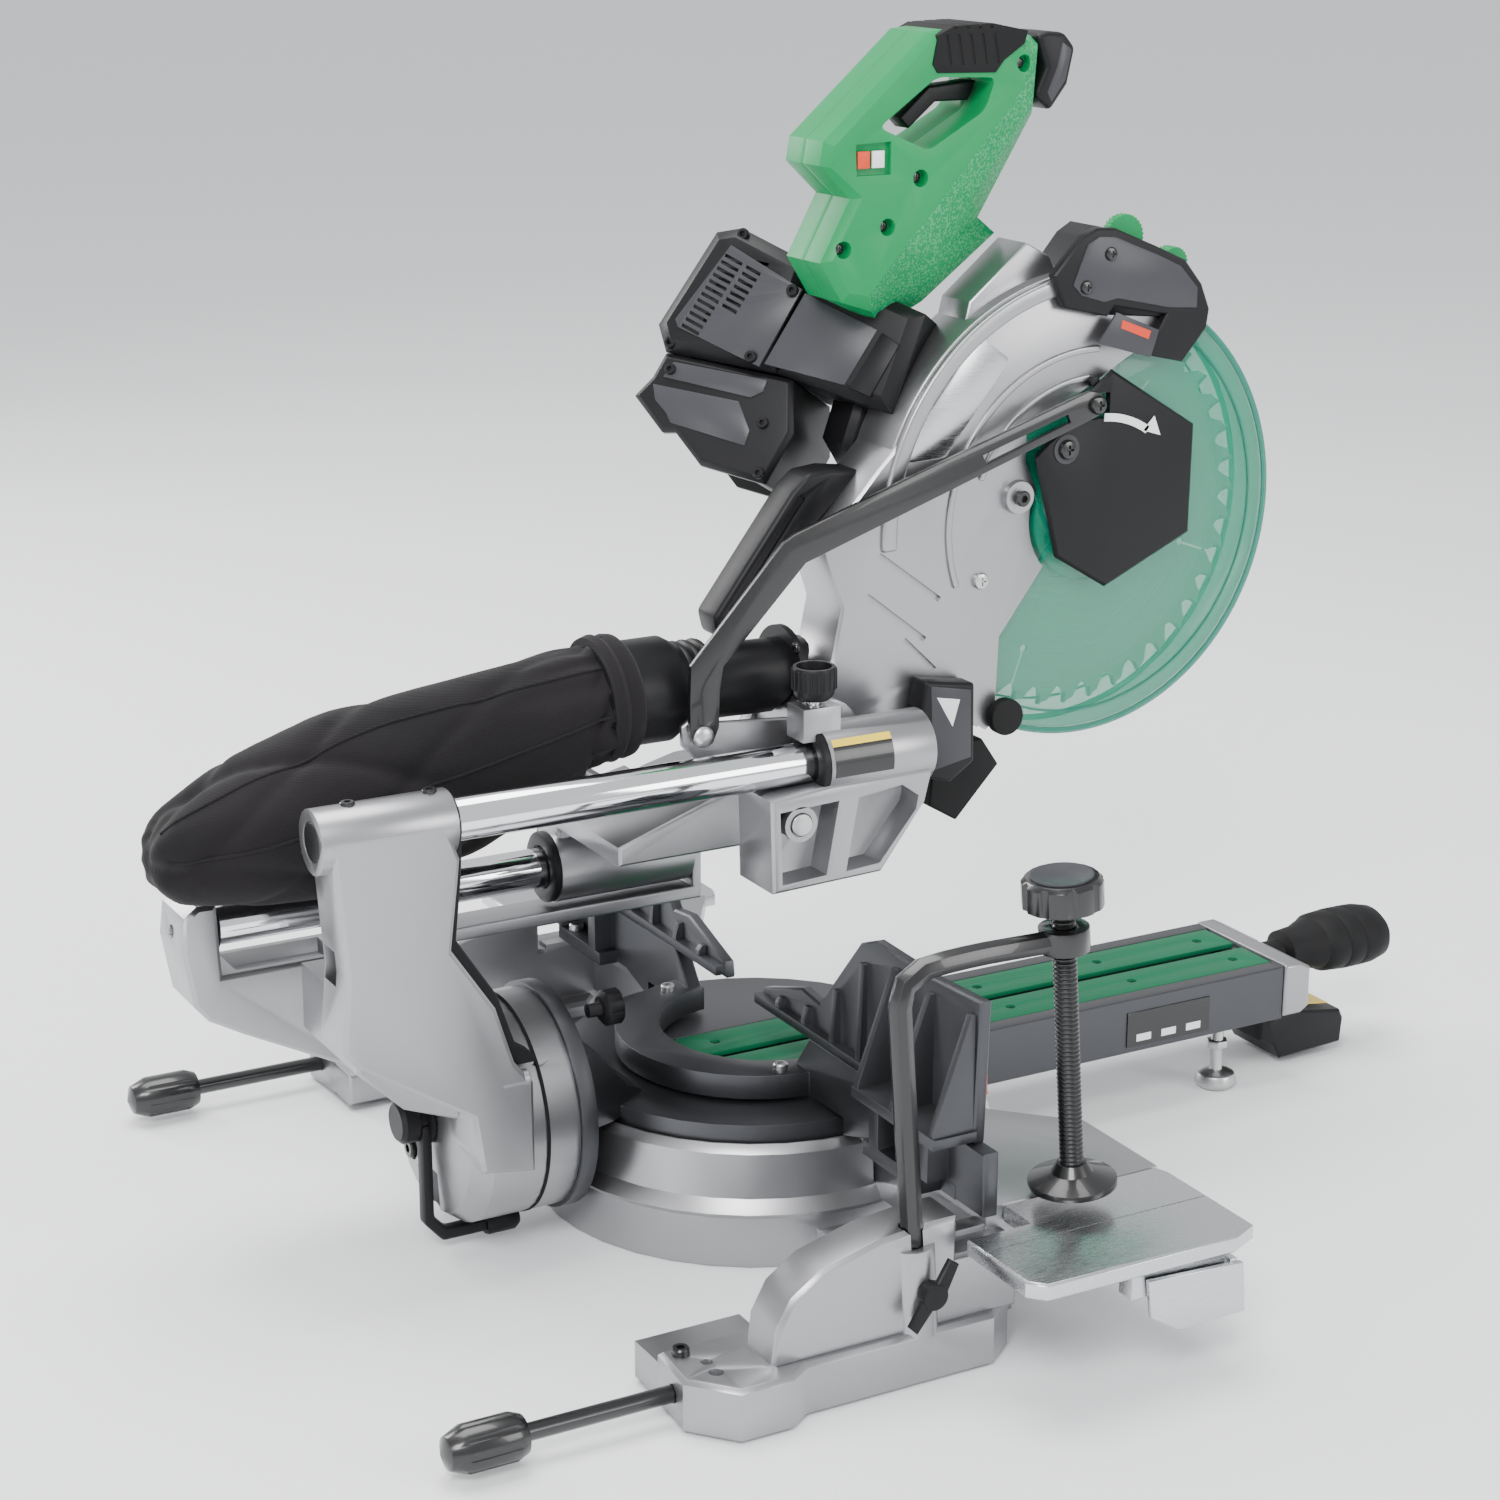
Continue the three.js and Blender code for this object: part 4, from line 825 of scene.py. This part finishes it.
def guard_ridge(name, x):
    return detail(bar_along(name, head_ring(GUARD_CUT, x), 1.9), GUARD_EDGE, "lower_guard")

lower_guard()
guard_ridge("guard_cut_ridge_left", -20.6)
guard_ridge("guard_cut_ridge_right", 20.6)
for name, x_range in (("left", (-21.2, -19.6)), ("right", (19.6, 21.2))):
    for part, radii in (("rim", (166.5, 171.2)), ("line", (152.5, 154.2))):
        head_band(f"guard_{part}_{name}", radii, x_range, (-236, -62), 0.4, "lower_guard", GUARD_EDGE)
print("lower guard")

# %% [markdown]
# The centre cover is a black hexagon held by one screw. A plain white arrow shows
# which way the blade turns.

# %% Centre cover details
def turning_arrow():
    body = ring_arc("turning_arrow", (72, 78), (-39.4, -38.6), (92, 124), 14)
    tip = on_head("arrow_tip", [(-38, 62), (-48, 72), (-54, 57)], -39.4, -38.6)
    return detail(joined("turning_arrow", [body, tip]), WHITE, "hex_cover")

turning_arrow()
screws("cover_screw", CROSS, [at_head(-38.2, 30, 54)], TO_LEFT, BLACK_STEEL, "hex_cover", 1.5)
CUP_SIDE = [(7.4, 0), (11, 0), (11, 1), (7.4, 1), (7.4, 0)]
detail(turned("cover_screw_cup", CUP_SIDE, at_head(-38, 30, 54), TO_LEFT, 36), PANEL, "hex_cover")
print("arrow, screw and cup")

# %% [markdown]
# ## Motor
#
# The motor lies aslant behind the blade, so its details are placed along three axes of
# its own: along the shaft, across it upwards, and outwards to the left.

# %% Motor axes and face
MOTOR_AT = Vector((30, -142, 585))
MOTOR_END = Vector((185, -33, 622))
ALONG = (MOTOR_END - MOTOR_AT).normalized()
OUT = Vector((-0.838, 0.461, 0.29))
OUT = (OUT - ALONG * OUT.dot(ALONG)).normalized()
UP = -OUT.cross(ALONG)

def on_motor(a, b, c):
    return tuple(MOTOR_AT + ALONG * a + UP * b + OUT * c)

def motor_plate(name, outline, low, high, width=0.8, paint=None, like="motor_end_cap"):
    plate = swept(name, [on_motor(a, b, low) for a, b in outline], OUT * (high - low))
    return detail(plate, paint or PANEL, like, width)

print("the shaft points along", [round(part, 3) for part in ALONG])

# %% [markdown]
# The face of the motor is a panel with two columns of narrow slots. They are cut right
# through it, and behind them lies a near-black plate: painted shade for the dark inside
# of the motor. The far cap has a row of ribs.

# %% Motor panels, screws and ribs
SLOT_STEP = (1.3, -5.3)
SLOT_HEIGHT = 2.6

def slot_rows(count, start, skew):
    """Slots one above the other, each a pair of (a, b) ends."""
    rows = []
    for i in range(count):
        a = start[0] + SLOT_STEP[0] * i
        b = start[1] + SLOT_STEP[1] * i
        rows.append(((a, b), (a + skew[0], b + skew[1])))
    return rows

def vented_panel():
    outline = [(145, 56), (80, 39), (92, -24), (164, -13), (168, -8)]
    panel = motor_plate("motor_face_panel", outline, 48, 51.4, 0)
    cutters = []
    for (a0, b0), (a1, b1) in slot_rows(12, (147, 49), (-15.5, -3.2)) + slot_rows(7, (128, 45), (-13, -2.7)):
        corners = [(a0, b0), (a1, b1), (a1, b1 - SLOT_HEIGHT), (a0, b0 - SLOT_HEIGHT)]
        cutters.append(swept("slot", [on_motor(a, b, 45) for a, b in corners], OUT * 12))
    cut_with(panel, joined("slots", cutters))
    soften(panel, 0.4, 2, 30)
    # A near-black plate behind the slots: painted shade for the inside of the motor.
    return motor_plate("vent_painted_shade", [(150, 53), (112, 46), (122, -14), (163, -11)], 46.5, 48.7, 0, SHADE_AND_DARK_MARKS)

vented_panel()
SIDE_PANEL = [(77, 37), (14, 26), (24, -19), (89, -21)]
motor_plate("motor_side_panel", SIDE_PANEL, 48, 51.0, 0.5, like="motor_housing")
COLLAR = [(10, 25), (-6, 20), (2, -22), (20, -20)]
motor_plate("collar_panel", COLLAR, 46, 51.6, 1.0, BLACK, "motor_housing")
cap_screws = [on_motor(a, b, c) for a, b, c in ((141, 67, 44), (86, 36, 51), (100, -19, 51), (168, -25, 44))]
screws("motor_cap_screws", SOCKET, cap_screws, OUT, BLACK, "motor_end_cap", 0.75)
arm_screws = [on_motor(a, b, 45.6) for a, b in ((160, -44), (76, -62), (66, -98))]
screws("battery_arm_screws", SOCKET, arm_screws, OUT, BLACK, "battery_mount", 0.7)
ARM_PANEL = [(160, -38), (84, -31), (84, -40), (92, -47), (164, -51)]
motor_plate("battery_arm_panel", ARM_PANEL, 44, 47, 0.6, like="battery_mount")
BATTERY_PANEL = [(170, -58), (100, -52), (84, -70), (84, -82), (146, -82), (152, -76), (164, -69)]
motor_plate("battery_side_panel", BATTERY_PANEL, 44, 47, 0.6, like="battery_mount")
ribs = []
for i in range(12):
    b = -14 + i * 6.2
    a = 185.5 - 0.27 * (b + 14)
    corners = [(a - 6, b), (a + 0.8, b), (a + 0.8, b + 2.6), (a - 6, b + 2.6)]
    ribs.append(swept("rib", [on_motor(*corner, 34) for corner in corners], OUT * -68))
detail(joined("cap_ribs", ribs), BLACK, "motor_end_cap")
print("motor ribs", len(ribs))

# %% [markdown]
# ## Carry handle and guard link
#
# The carry handle is a thick moulded bar with a flat top, and a long groove runs down
# its side. The link is a flat steel bar with two bends and a long slot.

# %% Carry handle and link
def carry_handle():
    outline = [(-95, 532), (-62, 536), (-43, 534), (-30, 522), (34, 438), (30, 422), (16, 418), (8, 424),
        (-54, 500), (-66, 511), (-95, 509)]
    bar = across("carry_bar", outline, -4, 26)
    soften(bar, 4, 3)
    groove = across("groove", [(-40, 517), (-36, 520), (22, 443), (18, 440)], -12, -2.6)
    cut_with(bar, groove)
    return finish(bar, BLACK, "carry_handle")

def guard_link():
    outline = [(347, -116), (347, -92), (346, -69), (272, 11), (264, 16), (177, 45), (14, 97), (5, 95),
        (0, 87), (4, 79), (11, 76), (176, 21), (254, -5), (320, -72), (323, -88), (324, -116), (329, -127),
        (336, -130), (343, -126)]
    bar = on_head("link_bar", outline, -44.8, -40)
    cut_with(bar, on_head("slot", [(107, 58), (34, 81), (31, 75), (104, 51)], -60, -30))
    soften(bar, 0.7, 2, 25)
    return finish(bar, BLACK_STEEL, "guard_link")

carry_handle()
guard_link()
screws("link_front_screw", CROSS, [at_head(-44.6, 8, 86)], TO_LEFT, BLACK_STEEL, "guard_link", 1.4)
print("carry handle and link")

# %% [markdown]
# ## Dust duct
#
# A stub on the guard takes a short rubber bellows, which widens to the big collar that
# the bag is strapped to. A turned profile shows every fold of the bellows.

# %% Duct and bellows
BELLOWS = [(24, 0), (32, 0), (32.6, 2), (32, 4), (29, 6), (32, 8), (32.6, 10), (32, 12), (29, 14), (32, 16),
    (32.6, 18), (32, 20), (34, 24), (38, 31), (38, 88), (35.5, 88), (35.5, 32), (24, 18), (24, 0)]
finish(turned("bag_duct", BELLOWS, (5, 42.4, 389), REARWARDS, 72), BLACK, "dust_elbow")
DUCT_RING = [(27, 0), (36, 0), (36, 5), (27, 5), (27, 0)]
detail(turned("duct_flange", DUCT_RING, (5, -28, 387), (0, 1, 0.02)), BLACK, "dust_duct")
screws("duct_screws", CROSS, [(-20, -24, 412), (-22, -24, 366)], REARWARDS, BLACK_STEEL, "dust_duct", 0.9)
print("duct")

# %% [markdown]
# ## Dust bag
#
# The bag is a real piece of cloth. Its shape is remeshed evenly, given a little more
# cloth than it needs and a breath of air, and left to crease for twenty frames. The
# movement is capped so that it stays clear of the rails, and the seam is sewn on last.

# %% Folds pressed into the bag
def bag_centre(share, y=0, drop=0.072):
    """The middle of the bag, at a share of its length from the strap."""
    return Vector((0.005 + 0.029 * min(1, share * 2), y, 0.389 - drop * share))

def crease(bag):
    """Gathers at the strap, and long slack folds along the bag."""
    for vertex, normal in zip(bag.data.vertices, [v.normal.copy() for v in bag.data.vertices]):
        share = max(0, (vertex.co.y - 0.115) / 0.34)
        centre = bag_centre(share)
        turn = atan2(vertex.co.z - centre.z, vertex.co.x - centre.x)
        gathers = cos(11 * turn + 2 * sin(3 * turn)) * max(0, 1 - share * 3.2)
        long_fold = (1 - abs(sin(1.5 * turn + 4.5 * share + 0.7 * sin(6 * share + turn)))) ** 3
        cross_fold = (1 - abs(sin(2 * turn - 8 * share + 1.3))) ** 4
        hollow = max(0, sin(5 * share + 2 * turn)) * min(1, share * 4)
        depth = 2.4 * gathers - 5.5 * long_fold * min(1, share * 5)
        depth = depth - 4 * cross_fold * min(1, share * 3) - 3 * hollow
        vertex.co += normal * depth / 1000

print("the far end of the bag is at", tuple(bag_centre(1)))

# %% [markdown]
# The cloth is simulated with a little air inside, while the part under the strap is
# held.

# %% Dust bag, seams and strap
BAG_CAP = 0.009
CLOTH_STEPS = 20
STRAP_ENDS_AT = 0.128

def slack_cloth(bag):
    start = [vertex.co.copy() for vertex in bag.data.vertices]
    group = bag.vertex_groups.new(name="strap")
    group.add([i for i, co in enumerate(start) if co.y < STRAP_ENDS_AT], 1.0, "REPLACE")
    pick(bag)
    cloth = bag.modifiers.new("cloth", "CLOTH")
    settings = cloth.settings
    settings.vertex_group_mass = "strap"
    settings.use_pressure = True
    settings.uniform_pressure_force = 0.6
    settings.shrink_min = -0.1
    settings.tension_stiffness = 8
    settings.bending_stiffness = 0.25
    settings.quality = 6
    settings.effector_weights.gravity = 0.25
    for step in range(CLOTH_STEPS):
        bpy.context.scene.frame_set(step + 1)
    bpy.ops.object.modifier_apply(modifier="cloth")
    bpy.context.scene.frame_set(1)
    for vertex, old in zip(bag.data.vertices, start):
        moved = vertex.co - old
        if moved.length > BAG_CAP:
            vertex.co = old + moved.normalized() * BAG_CAP

def dust_bag():
    bag = bpy.data.objects.new("bag_cloth", frame["nodes"]["dust_bag"].data.copy())
    bpy.context.scene.collection.objects.link(bag)
    open_mesh(bag)
    bpy.ops.mesh.select_all(action="SELECT")
    bpy.ops.mesh.remove_doubles(threshold=MERGE_LOOSE)
    bpy.ops.object.mode_set(mode="OBJECT")
    apply_modifier(bag, "REMESH", mode="VOXEL", voxel_size=0.006)
    apply_modifier(bag, "SMOOTH", factor=0.5, iterations=4)
    crease(bag)
    slack_cloth(bag)
    apply_modifier(bag, "SUBSURF", levels=1, render_levels=1)
    bpy.ops.object.shade_smooth()
    finish(bag, CLOTH, "dust_bag")
    return bag

def sewn_seam(bag, name, way):
    """Follow the cloth along its length and lay a thin roll on it."""
    points = []
    stitches = 33
    for i in range(stitches + 1):
        centre = bag_centre(i / stitches, 0.13 + i * 0.0094, 0.07)
        hit, place, normal, _ = bag.ray_cast(centre + Vector(way) * 0.2, -Vector(way))
        if hit:
            points.append(tuple((place + normal * 0.0004) * 1000))
    return detail(bar_along(name, points, 1.1), CLOTH, "dust_bag")

BAG = dust_bag()
sewn_seam(BAG, "bag_top_seam", (-0.62, 0, 0.78))
sewn_seam(BAG, "bag_side_seam", (-1, 0, -0.1))
STRAP = [(38.4, 0), (41, 1), (44, 4), (45, 9), (43.5, 14), (46, 18), (44.5, 24), (38.4, 24), (38.4, 0)]
detail(turned("bag_strap", STRAP, (5, 104, 389), (0, 1, -0.05), 60), CLOTH, "dust_bag")
print("dust bag", len(BAG.data.polygons))

# %% [markdown]
# ## Rails, seals and the rear arm
#
# Each tube enters its casting through a black ring, which wipes the dust off it. Two
# set screws in the top of the arm hold the upper tube.

# %% Wiper rings and set screws
RAIL_X = 68
UPPER_Z = 342
LOWER_Z = 246

def wiper(name, x, y, z, like, outer, depth, way=1):
    profile = [(15.4, 0), (outer - 1, 0), (outer, 1), (outer, depth - 1), (outer - 1.4, depth), (17, depth),
        (15.4, depth - 1.4), (15.4, 0)]
    return detail(turned(name, profile, (x, y, z), (0, way, 0), 64), BLACK, like)

wiper("upper_sleeve_wiper", -RAIL_X, -11.5, UPPER_Z, "carriage", 26.4, 6)
wiper("lower_sleeve_wiper", RAIL_X, 135.5, LOWER_Z, "carriage", 26.4, 6)
wiper("upper_arm_seal", -RAIL_X, 272.5, UPPER_Z, "bevel_arm", 21, 3, -1)
wiper("lower_arm_seal", RAIL_X, 396.5, LOWER_Z, "bevel_arm", 20, 3, -1)
SET_SCREWS = [(-RAIL_X, 284, 361.6), (-RAIL_X, 342, 361.6)]
screws("rail_set_screws", SOCKET, SET_SCREWS, UPWARDS, BLACK_STEEL, "bevel_arm", 0.85)
screws("cradle_screws", CROSS, [(-58, 340, 232), (-58, 348, 196)], REARWARDS, ZINC, "bevel_arm", 0.5)
STUD = [(0, 0), (6, 0), (7, 1), (7, 21), (6, 22), (0, 22)]
detail(turned("arm_stud", STUD, (-83.6, 224, 152), REARWARDS, 40), CASTING, "bevel_arm")
SEAM = [(79, 0), (80.7, 0), (80.7, 2.2), (79, 2.2), (79, 0)]
detail(turned("drum_seam", SEAM, (0, 206, 100), REARWARDS, 96), SHADE_AND_DARK_MARKS, "bevel_arm")
print("rings, set screws and stud")

# %% [markdown]
# The hub of the bevel clamp is a stack of a washer, a nut and a cap at the back of the
# drum, and its lever reaches forward under the drum.

# %% Bevel clamp
def bevel_clamp():
    stack = [(0, 0), (19, 0), (19, 3), (14, 4), (14, 9), (16, 10), (16, 20), (13, 23), (0, 23)]
    hub = turned("clamp_hub", stack, (0, 266.5, 100), REARWARDS, 40)
    bend = [(268, 100), (276, 100), (276, 24), (262, 8), (210, 8), (206, 12), (210, 17), (258, 17), (268, 28)]
    arm = across("clamp_arm", bend, -16, -4)
    soften(arm, 2.4, 2)
    profile = [(0, 0), (8, 0), (9, 2), (9, 22), (6, 26), (0, 26)]
    grip = turned("clamp_grip", profile, (-10, 228, 12.6), (0, -1, 0), 20)
    return finish(joined("bevel_clamp_lever", [hub, arm, grip]), BLACK, "bevel_lock_lever")

bevel_clamp()
SLOT_RIM = [(9, 0), (14, 0), (14, 3), (9, 3), (9, 0)]
detail(turned("bevel_slot_rim", SLOT_RIM, (26, 264, 66), REARWARDS, 40), CASTING, "bevel_arm")
screws("bevel_slot_nut", SOCKET, [(26, 264, 66)], REARWARDS, BLACK_STEEL, "bevel_arm", 1.2)
print("bevel clamp")

# %% [markdown]
# ## Carriage details
#
# A label is wrapped round the sleeve; here it is only a blank black field under a
# yellow band. The slide lock is a ribbed knob with a hollow top.

# %% Sleeve label, knob and light
def wrapped_label(name, radius, y_range, angles, paint):
    """A thin skin spun round the sleeve, 0 to the left and 90 up."""
    turn = radians(angles[0])
    (front, back), outer = y_range, radius + 0.3
    section = [(-RAIL_X - r * cos(turn), y, UPPER_Z + r * sin(turn))
        for r, y in ((radius, front), (outer, front), (outer, back), (radius, back))]
    skin = spun_part(name, section, angles, 16, mm(-RAIL_X, 0, UPPER_Z), (0, -1, 0))
    return detail(skin, paint, "carriage")

wrapped_label("sleeve_label", 27.0, (-62, -14), (-14, 34), BLACK_STEEL)
wrapped_label("sleeve_label_band", 27.0, (-62, -14), (34, 46), YELLOW)

def slide_knob():
    profile = [(0, 0), (11, 0), (14, 3), (15.6, 8), (16, 22), (15, 24), (12.8, 24), (11.4, 15), (0, 14)]
    pieces = [turned("knob_cap", profile, (-RAIL_X, -11, 388), UPWARDS, 60)]
    for i in range(20):
        turn = i * pi / 10
        x, y = -RAIL_X + 15.6 * cos(turn), -11 + 15.6 * sin(turn)
        pieces.append(turned("rib", [(0, 0), (1, 0), (1, 14), (0, 15)], (x, y, 396), UPWARDS, 6))
    finish(joined("knob_cap", pieces), BLACK, "slide_lock_knob")
    stem = turned("knob_stem", [(0, 0), (5, 0), (5, 30), (0, 30)], (-RAIL_X, -11, 361), UPWARDS, 24)
    return detail(stem, CHROME, "slide_lock_knob")

slide_knob()
LAMP_FACE = [(-121, 377), (-156, 370), (-157, 318), (-124, 312)]
detail(across("lamp_face", LAMP_FACE, -48.8, -47.2), PANEL, "light_box", 1)
LAMP_SIGN = [(-126, 368), (-146, 364), (-140, 344)]
detail(across("lamp_sign", LAMP_SIGN, -49.2, -48.7), WHITE, "light_box")
PIN_RIM = [(9, 0), (13, 0), (13, 3), (9, 3), (9, 0)]
detail(turned("pin_boss_rim", PIN_RIM, (-90, 13, 305), TO_LEFT, 40), CASTING, "carriage")
print("labels, knob and lamp face")

# %% [markdown]
# ## Work clamp
#
# The clamp leans a little. Its screw has a coarse thread, drawn as a stack of crests;
# a turned profile with a zigzag edge gives it real shadows.

# %% Clamp thread and knob top
CLAMP_LEAN = radians(4.2)
THREAD_PITCH = 3.2
THREAD_TURNS = 56

def in_clamp(y, z):
    lean, rise = sin(CLAMP_LEAN), cos(CLAMP_LEAN)
    return (-334, 63 + y * rise + z * lean, 46 - y * lean + z * rise)

def clamp_thread():
    profile = [(6.6, 0)]
    for i in range(THREAD_TURNS):
        for radius, share in ((8.1, 0.35), (8.1, 0.55), (6.9, 0.95)):
            profile.append((radius, THREAD_PITCH * (i + share)))
    profile += [(6.6, THREAD_PITCH * THREAD_TURNS), (6.6, 0)]
    way = Vector(in_clamp(-126, 1)) - Vector(in_clamp(-126, 0))
    detail(turned("clamp_thread", profile, in_clamp(-126, 72), way, 28), BLACK_STEEL, "clamp_screw")
    hollow = [(0, 0), (20, 0), (21, 0.6), (21, 1.6), (19, 1.6), (17, 0.8), (0, 0.6)]
    detail(turned("clamp_knob_dish", hollow, in_clamp(-126, 276.6), way, 48), PANEL, "clamp_screw")

clamp_thread()
print("turns of thread", THREAD_TURNS)

# %% [markdown]
# ## Table, arm and base details
#
# Small things make the size readable: screws in the kerf boards, ticks on the scale,
# a blank label on the arm and a yellow one on the detent lever.

# %% Labels and screws of the table
def thin_plate(name, corners, sweep, paint, like, width=0.3):
    plate = swept(name, corners, sweep)
    return detail(plate, paint, like, width, 1)

ARM_LABEL = [(-58.2, -302, 89), (-58.2, -382, 89), (-58.2, -382, 60), (-58.2, -302, 60)]
thin_plate("arm_label", ARM_LABEL, (-0.6, 0, 0), BLACK_STEEL, "turntable")
for i, y in enumerate((-318, -342, -366)):
    corners = [(-58.8, y - 7, 70), (-58.8, y + 7, 70), (-58.8, y + 7, 64), (-58.8, y - 7, 64)]
    thin_plate(f"arm_label_field_{i + 1}", corners, (-0.3, 0, 0), WHITE, "turntable", 0.1)
LEVER_LABEL = [(-22, -503, 45.6), (-22, -533, 41.4), (22, -533, 41.4), (22, -503, 45.6)]
thin_plate("lever_label", LEVER_LABEL, (0, 0, 0.8), YELLOW, "detent_lever")
for side, x in (("left", -24), ("right", 24)):
    places = [(x, y, 96.4) for y in (-430, -330, -215, -80, 20)]
    screws(f"{side}_board_screws", CROSS, places, UPWARDS, BLACK_STEEL, f"{side}_kerf_board", 0.72)
screws("foot_screws", SOCKET, [(-296, 217, 37.6), (296, 217, 37.6)], UPWARDS, BLACK_STEEL, "base_casting")
screws("fence_screws", SOCKET, [(-266, 19.5, 111.6), (266, 19.5, 111.6)], UPWARDS, ZINC, "fence_casting")
ring_places = [(93 * cos(radians(turn)), -2 + 93 * sin(radians(turn)), 120.4) for turn in (18, 162)]
screws("fence_ring_screws", SOCKET, ring_places, UPWARDS, ZINC, "fence_casting", 0.9)
print("labels and screws")

# %% [markdown]
# The scale has raised marks, a longer one at every tenth degree, and the pointer is
# cut away underneath so that it passes over them.

# %% Scale, pointer, handle and wings
def scale_ticks():
    ticks = []
    for i in range(53):
        turn = radians(205 + i * 2.5)
        low = 165 if i % 4 == 0 else 170
        way, side = Vector((cos(turn), sin(turn))), Vector((-sin(turn), cos(turn))) * 0.35
        corners = [way * low + side, way * 176 + side, way * 176 - side, way * low - side]
        ticks.append(swept("tick", [(c.x, c.y, 51.9) for c in corners], (0, 0, 0.25)))
    return detail(joined("scale_ticks", ticks), SHADE_AND_DARK_MARKS, "mitre_scale")

scale_ticks()
pointer = rounded("mitre_pointer", 0.4)
under = swept("under", [(-80, -180, 50), (-50, -180, 50), (-50, -140, 50), (-80, -140, 50)], (0, 0, 2.5))
cut_with(pointer, under)

def mitre_grip():
    profile = [(0, 0), (11, 0), (11, 20), (19, 23), (21, 40), (26, 52), (26, 54), (29.4, 58), (30.6, 72),
        (29.6, 74), (31, 76), (31, 88), (30, 90), (31, 92), (30.4, 104), (27, 116), (20, 122), (9, 125),
        (0, 125)]
    grip = turned("mitre_grip", profile, (0, -476, 88), (0, -1, 0), 56)
    open_mesh(grip)
    bpy.ops.mesh.select_all(action="SELECT")
    bpy.ops.transform.resize(value=(1, 1, 0.8), center_override=mm(0, -540, 88))
    bpy.ops.object.mode_set(mode="OBJECT")
    return finish(grip, RUBBER, "mitre_handle")

mitre_grip()

def wing_with_line(node, side):
    wing = rounded(node, 1.0)
    near, far = side * 372, side * 373.2
    line = swept("line", [(near, -150, 99), (far, -150, 99), (far, 60, 99), (near, 60, 99)], (0, 0, 3))
    return cut_with(wing, line)

wing_with_line("left_wing", -1)
wing_with_line("right_wing", 1)
print("table details")

# %% [markdown]
# ## Laser unit
#
# Two knurled wheels aim the laser line. A knurl is a ring of small teeth, so the
# outline of the wheel is a zigzag worked out from the number of teeth.

# %% Laser wheels and face
def knurled_wheel(node, x0, x1, y, z, radius, teeth=30):
    outline = []
    for i in range(teeth * 2):
        turn = i * pi / teeth
        reach = radius if i % 2 else radius - 1.1
        outline.append((y + reach * cos(turn), z + reach * sin(turn)))
    wheel = on_head(node + "_knurl", outline, x0, x1)
    hole = radius * 0.45
    bore = [(0, -2), (hole, -2), (hole, 3), (0, 3)]
    cut_with(wheel, turned("bore", bore, at_head(x1, y, z), (1, 0, 0), 20))
    soften(wheel, 0.25, 1, 50)
    return finish(wheel, GREEN, node)

knurled_wheel("laser_wheel_1", -23, -16, -27, 204, 17)
knurled_wheel("laser_wheel_2", -22, -9, -74, 182, 12, 24)
LASER_FACE = [(16, 203), (6, 208), (-8, 207), (-46, 192), (-68, 182), (-84, 165), (-84, 150), (-58, 152),
    (-12, 162), (0, 160), (20, 166), (28, 174)]
detail(on_head("laser_face", LASER_FACE, -38.2, -36.4), PANEL, "laser_housing", 0.8)
LASER_SCREWS = [at_head(-38, -4, 195), at_head(-38, 17, 172)]
screws("laser_screws", CROSS, LASER_SCREWS, TO_LEFT, BLACK_STEEL, "laser_housing")
print("laser")

# %% [markdown]
# ## Closing
#
# The two template screws have done their work and are removed.

# %% Clear the templates and finish
for template in (CROSS, SOCKET):
    bpy.data.objects.remove(template)
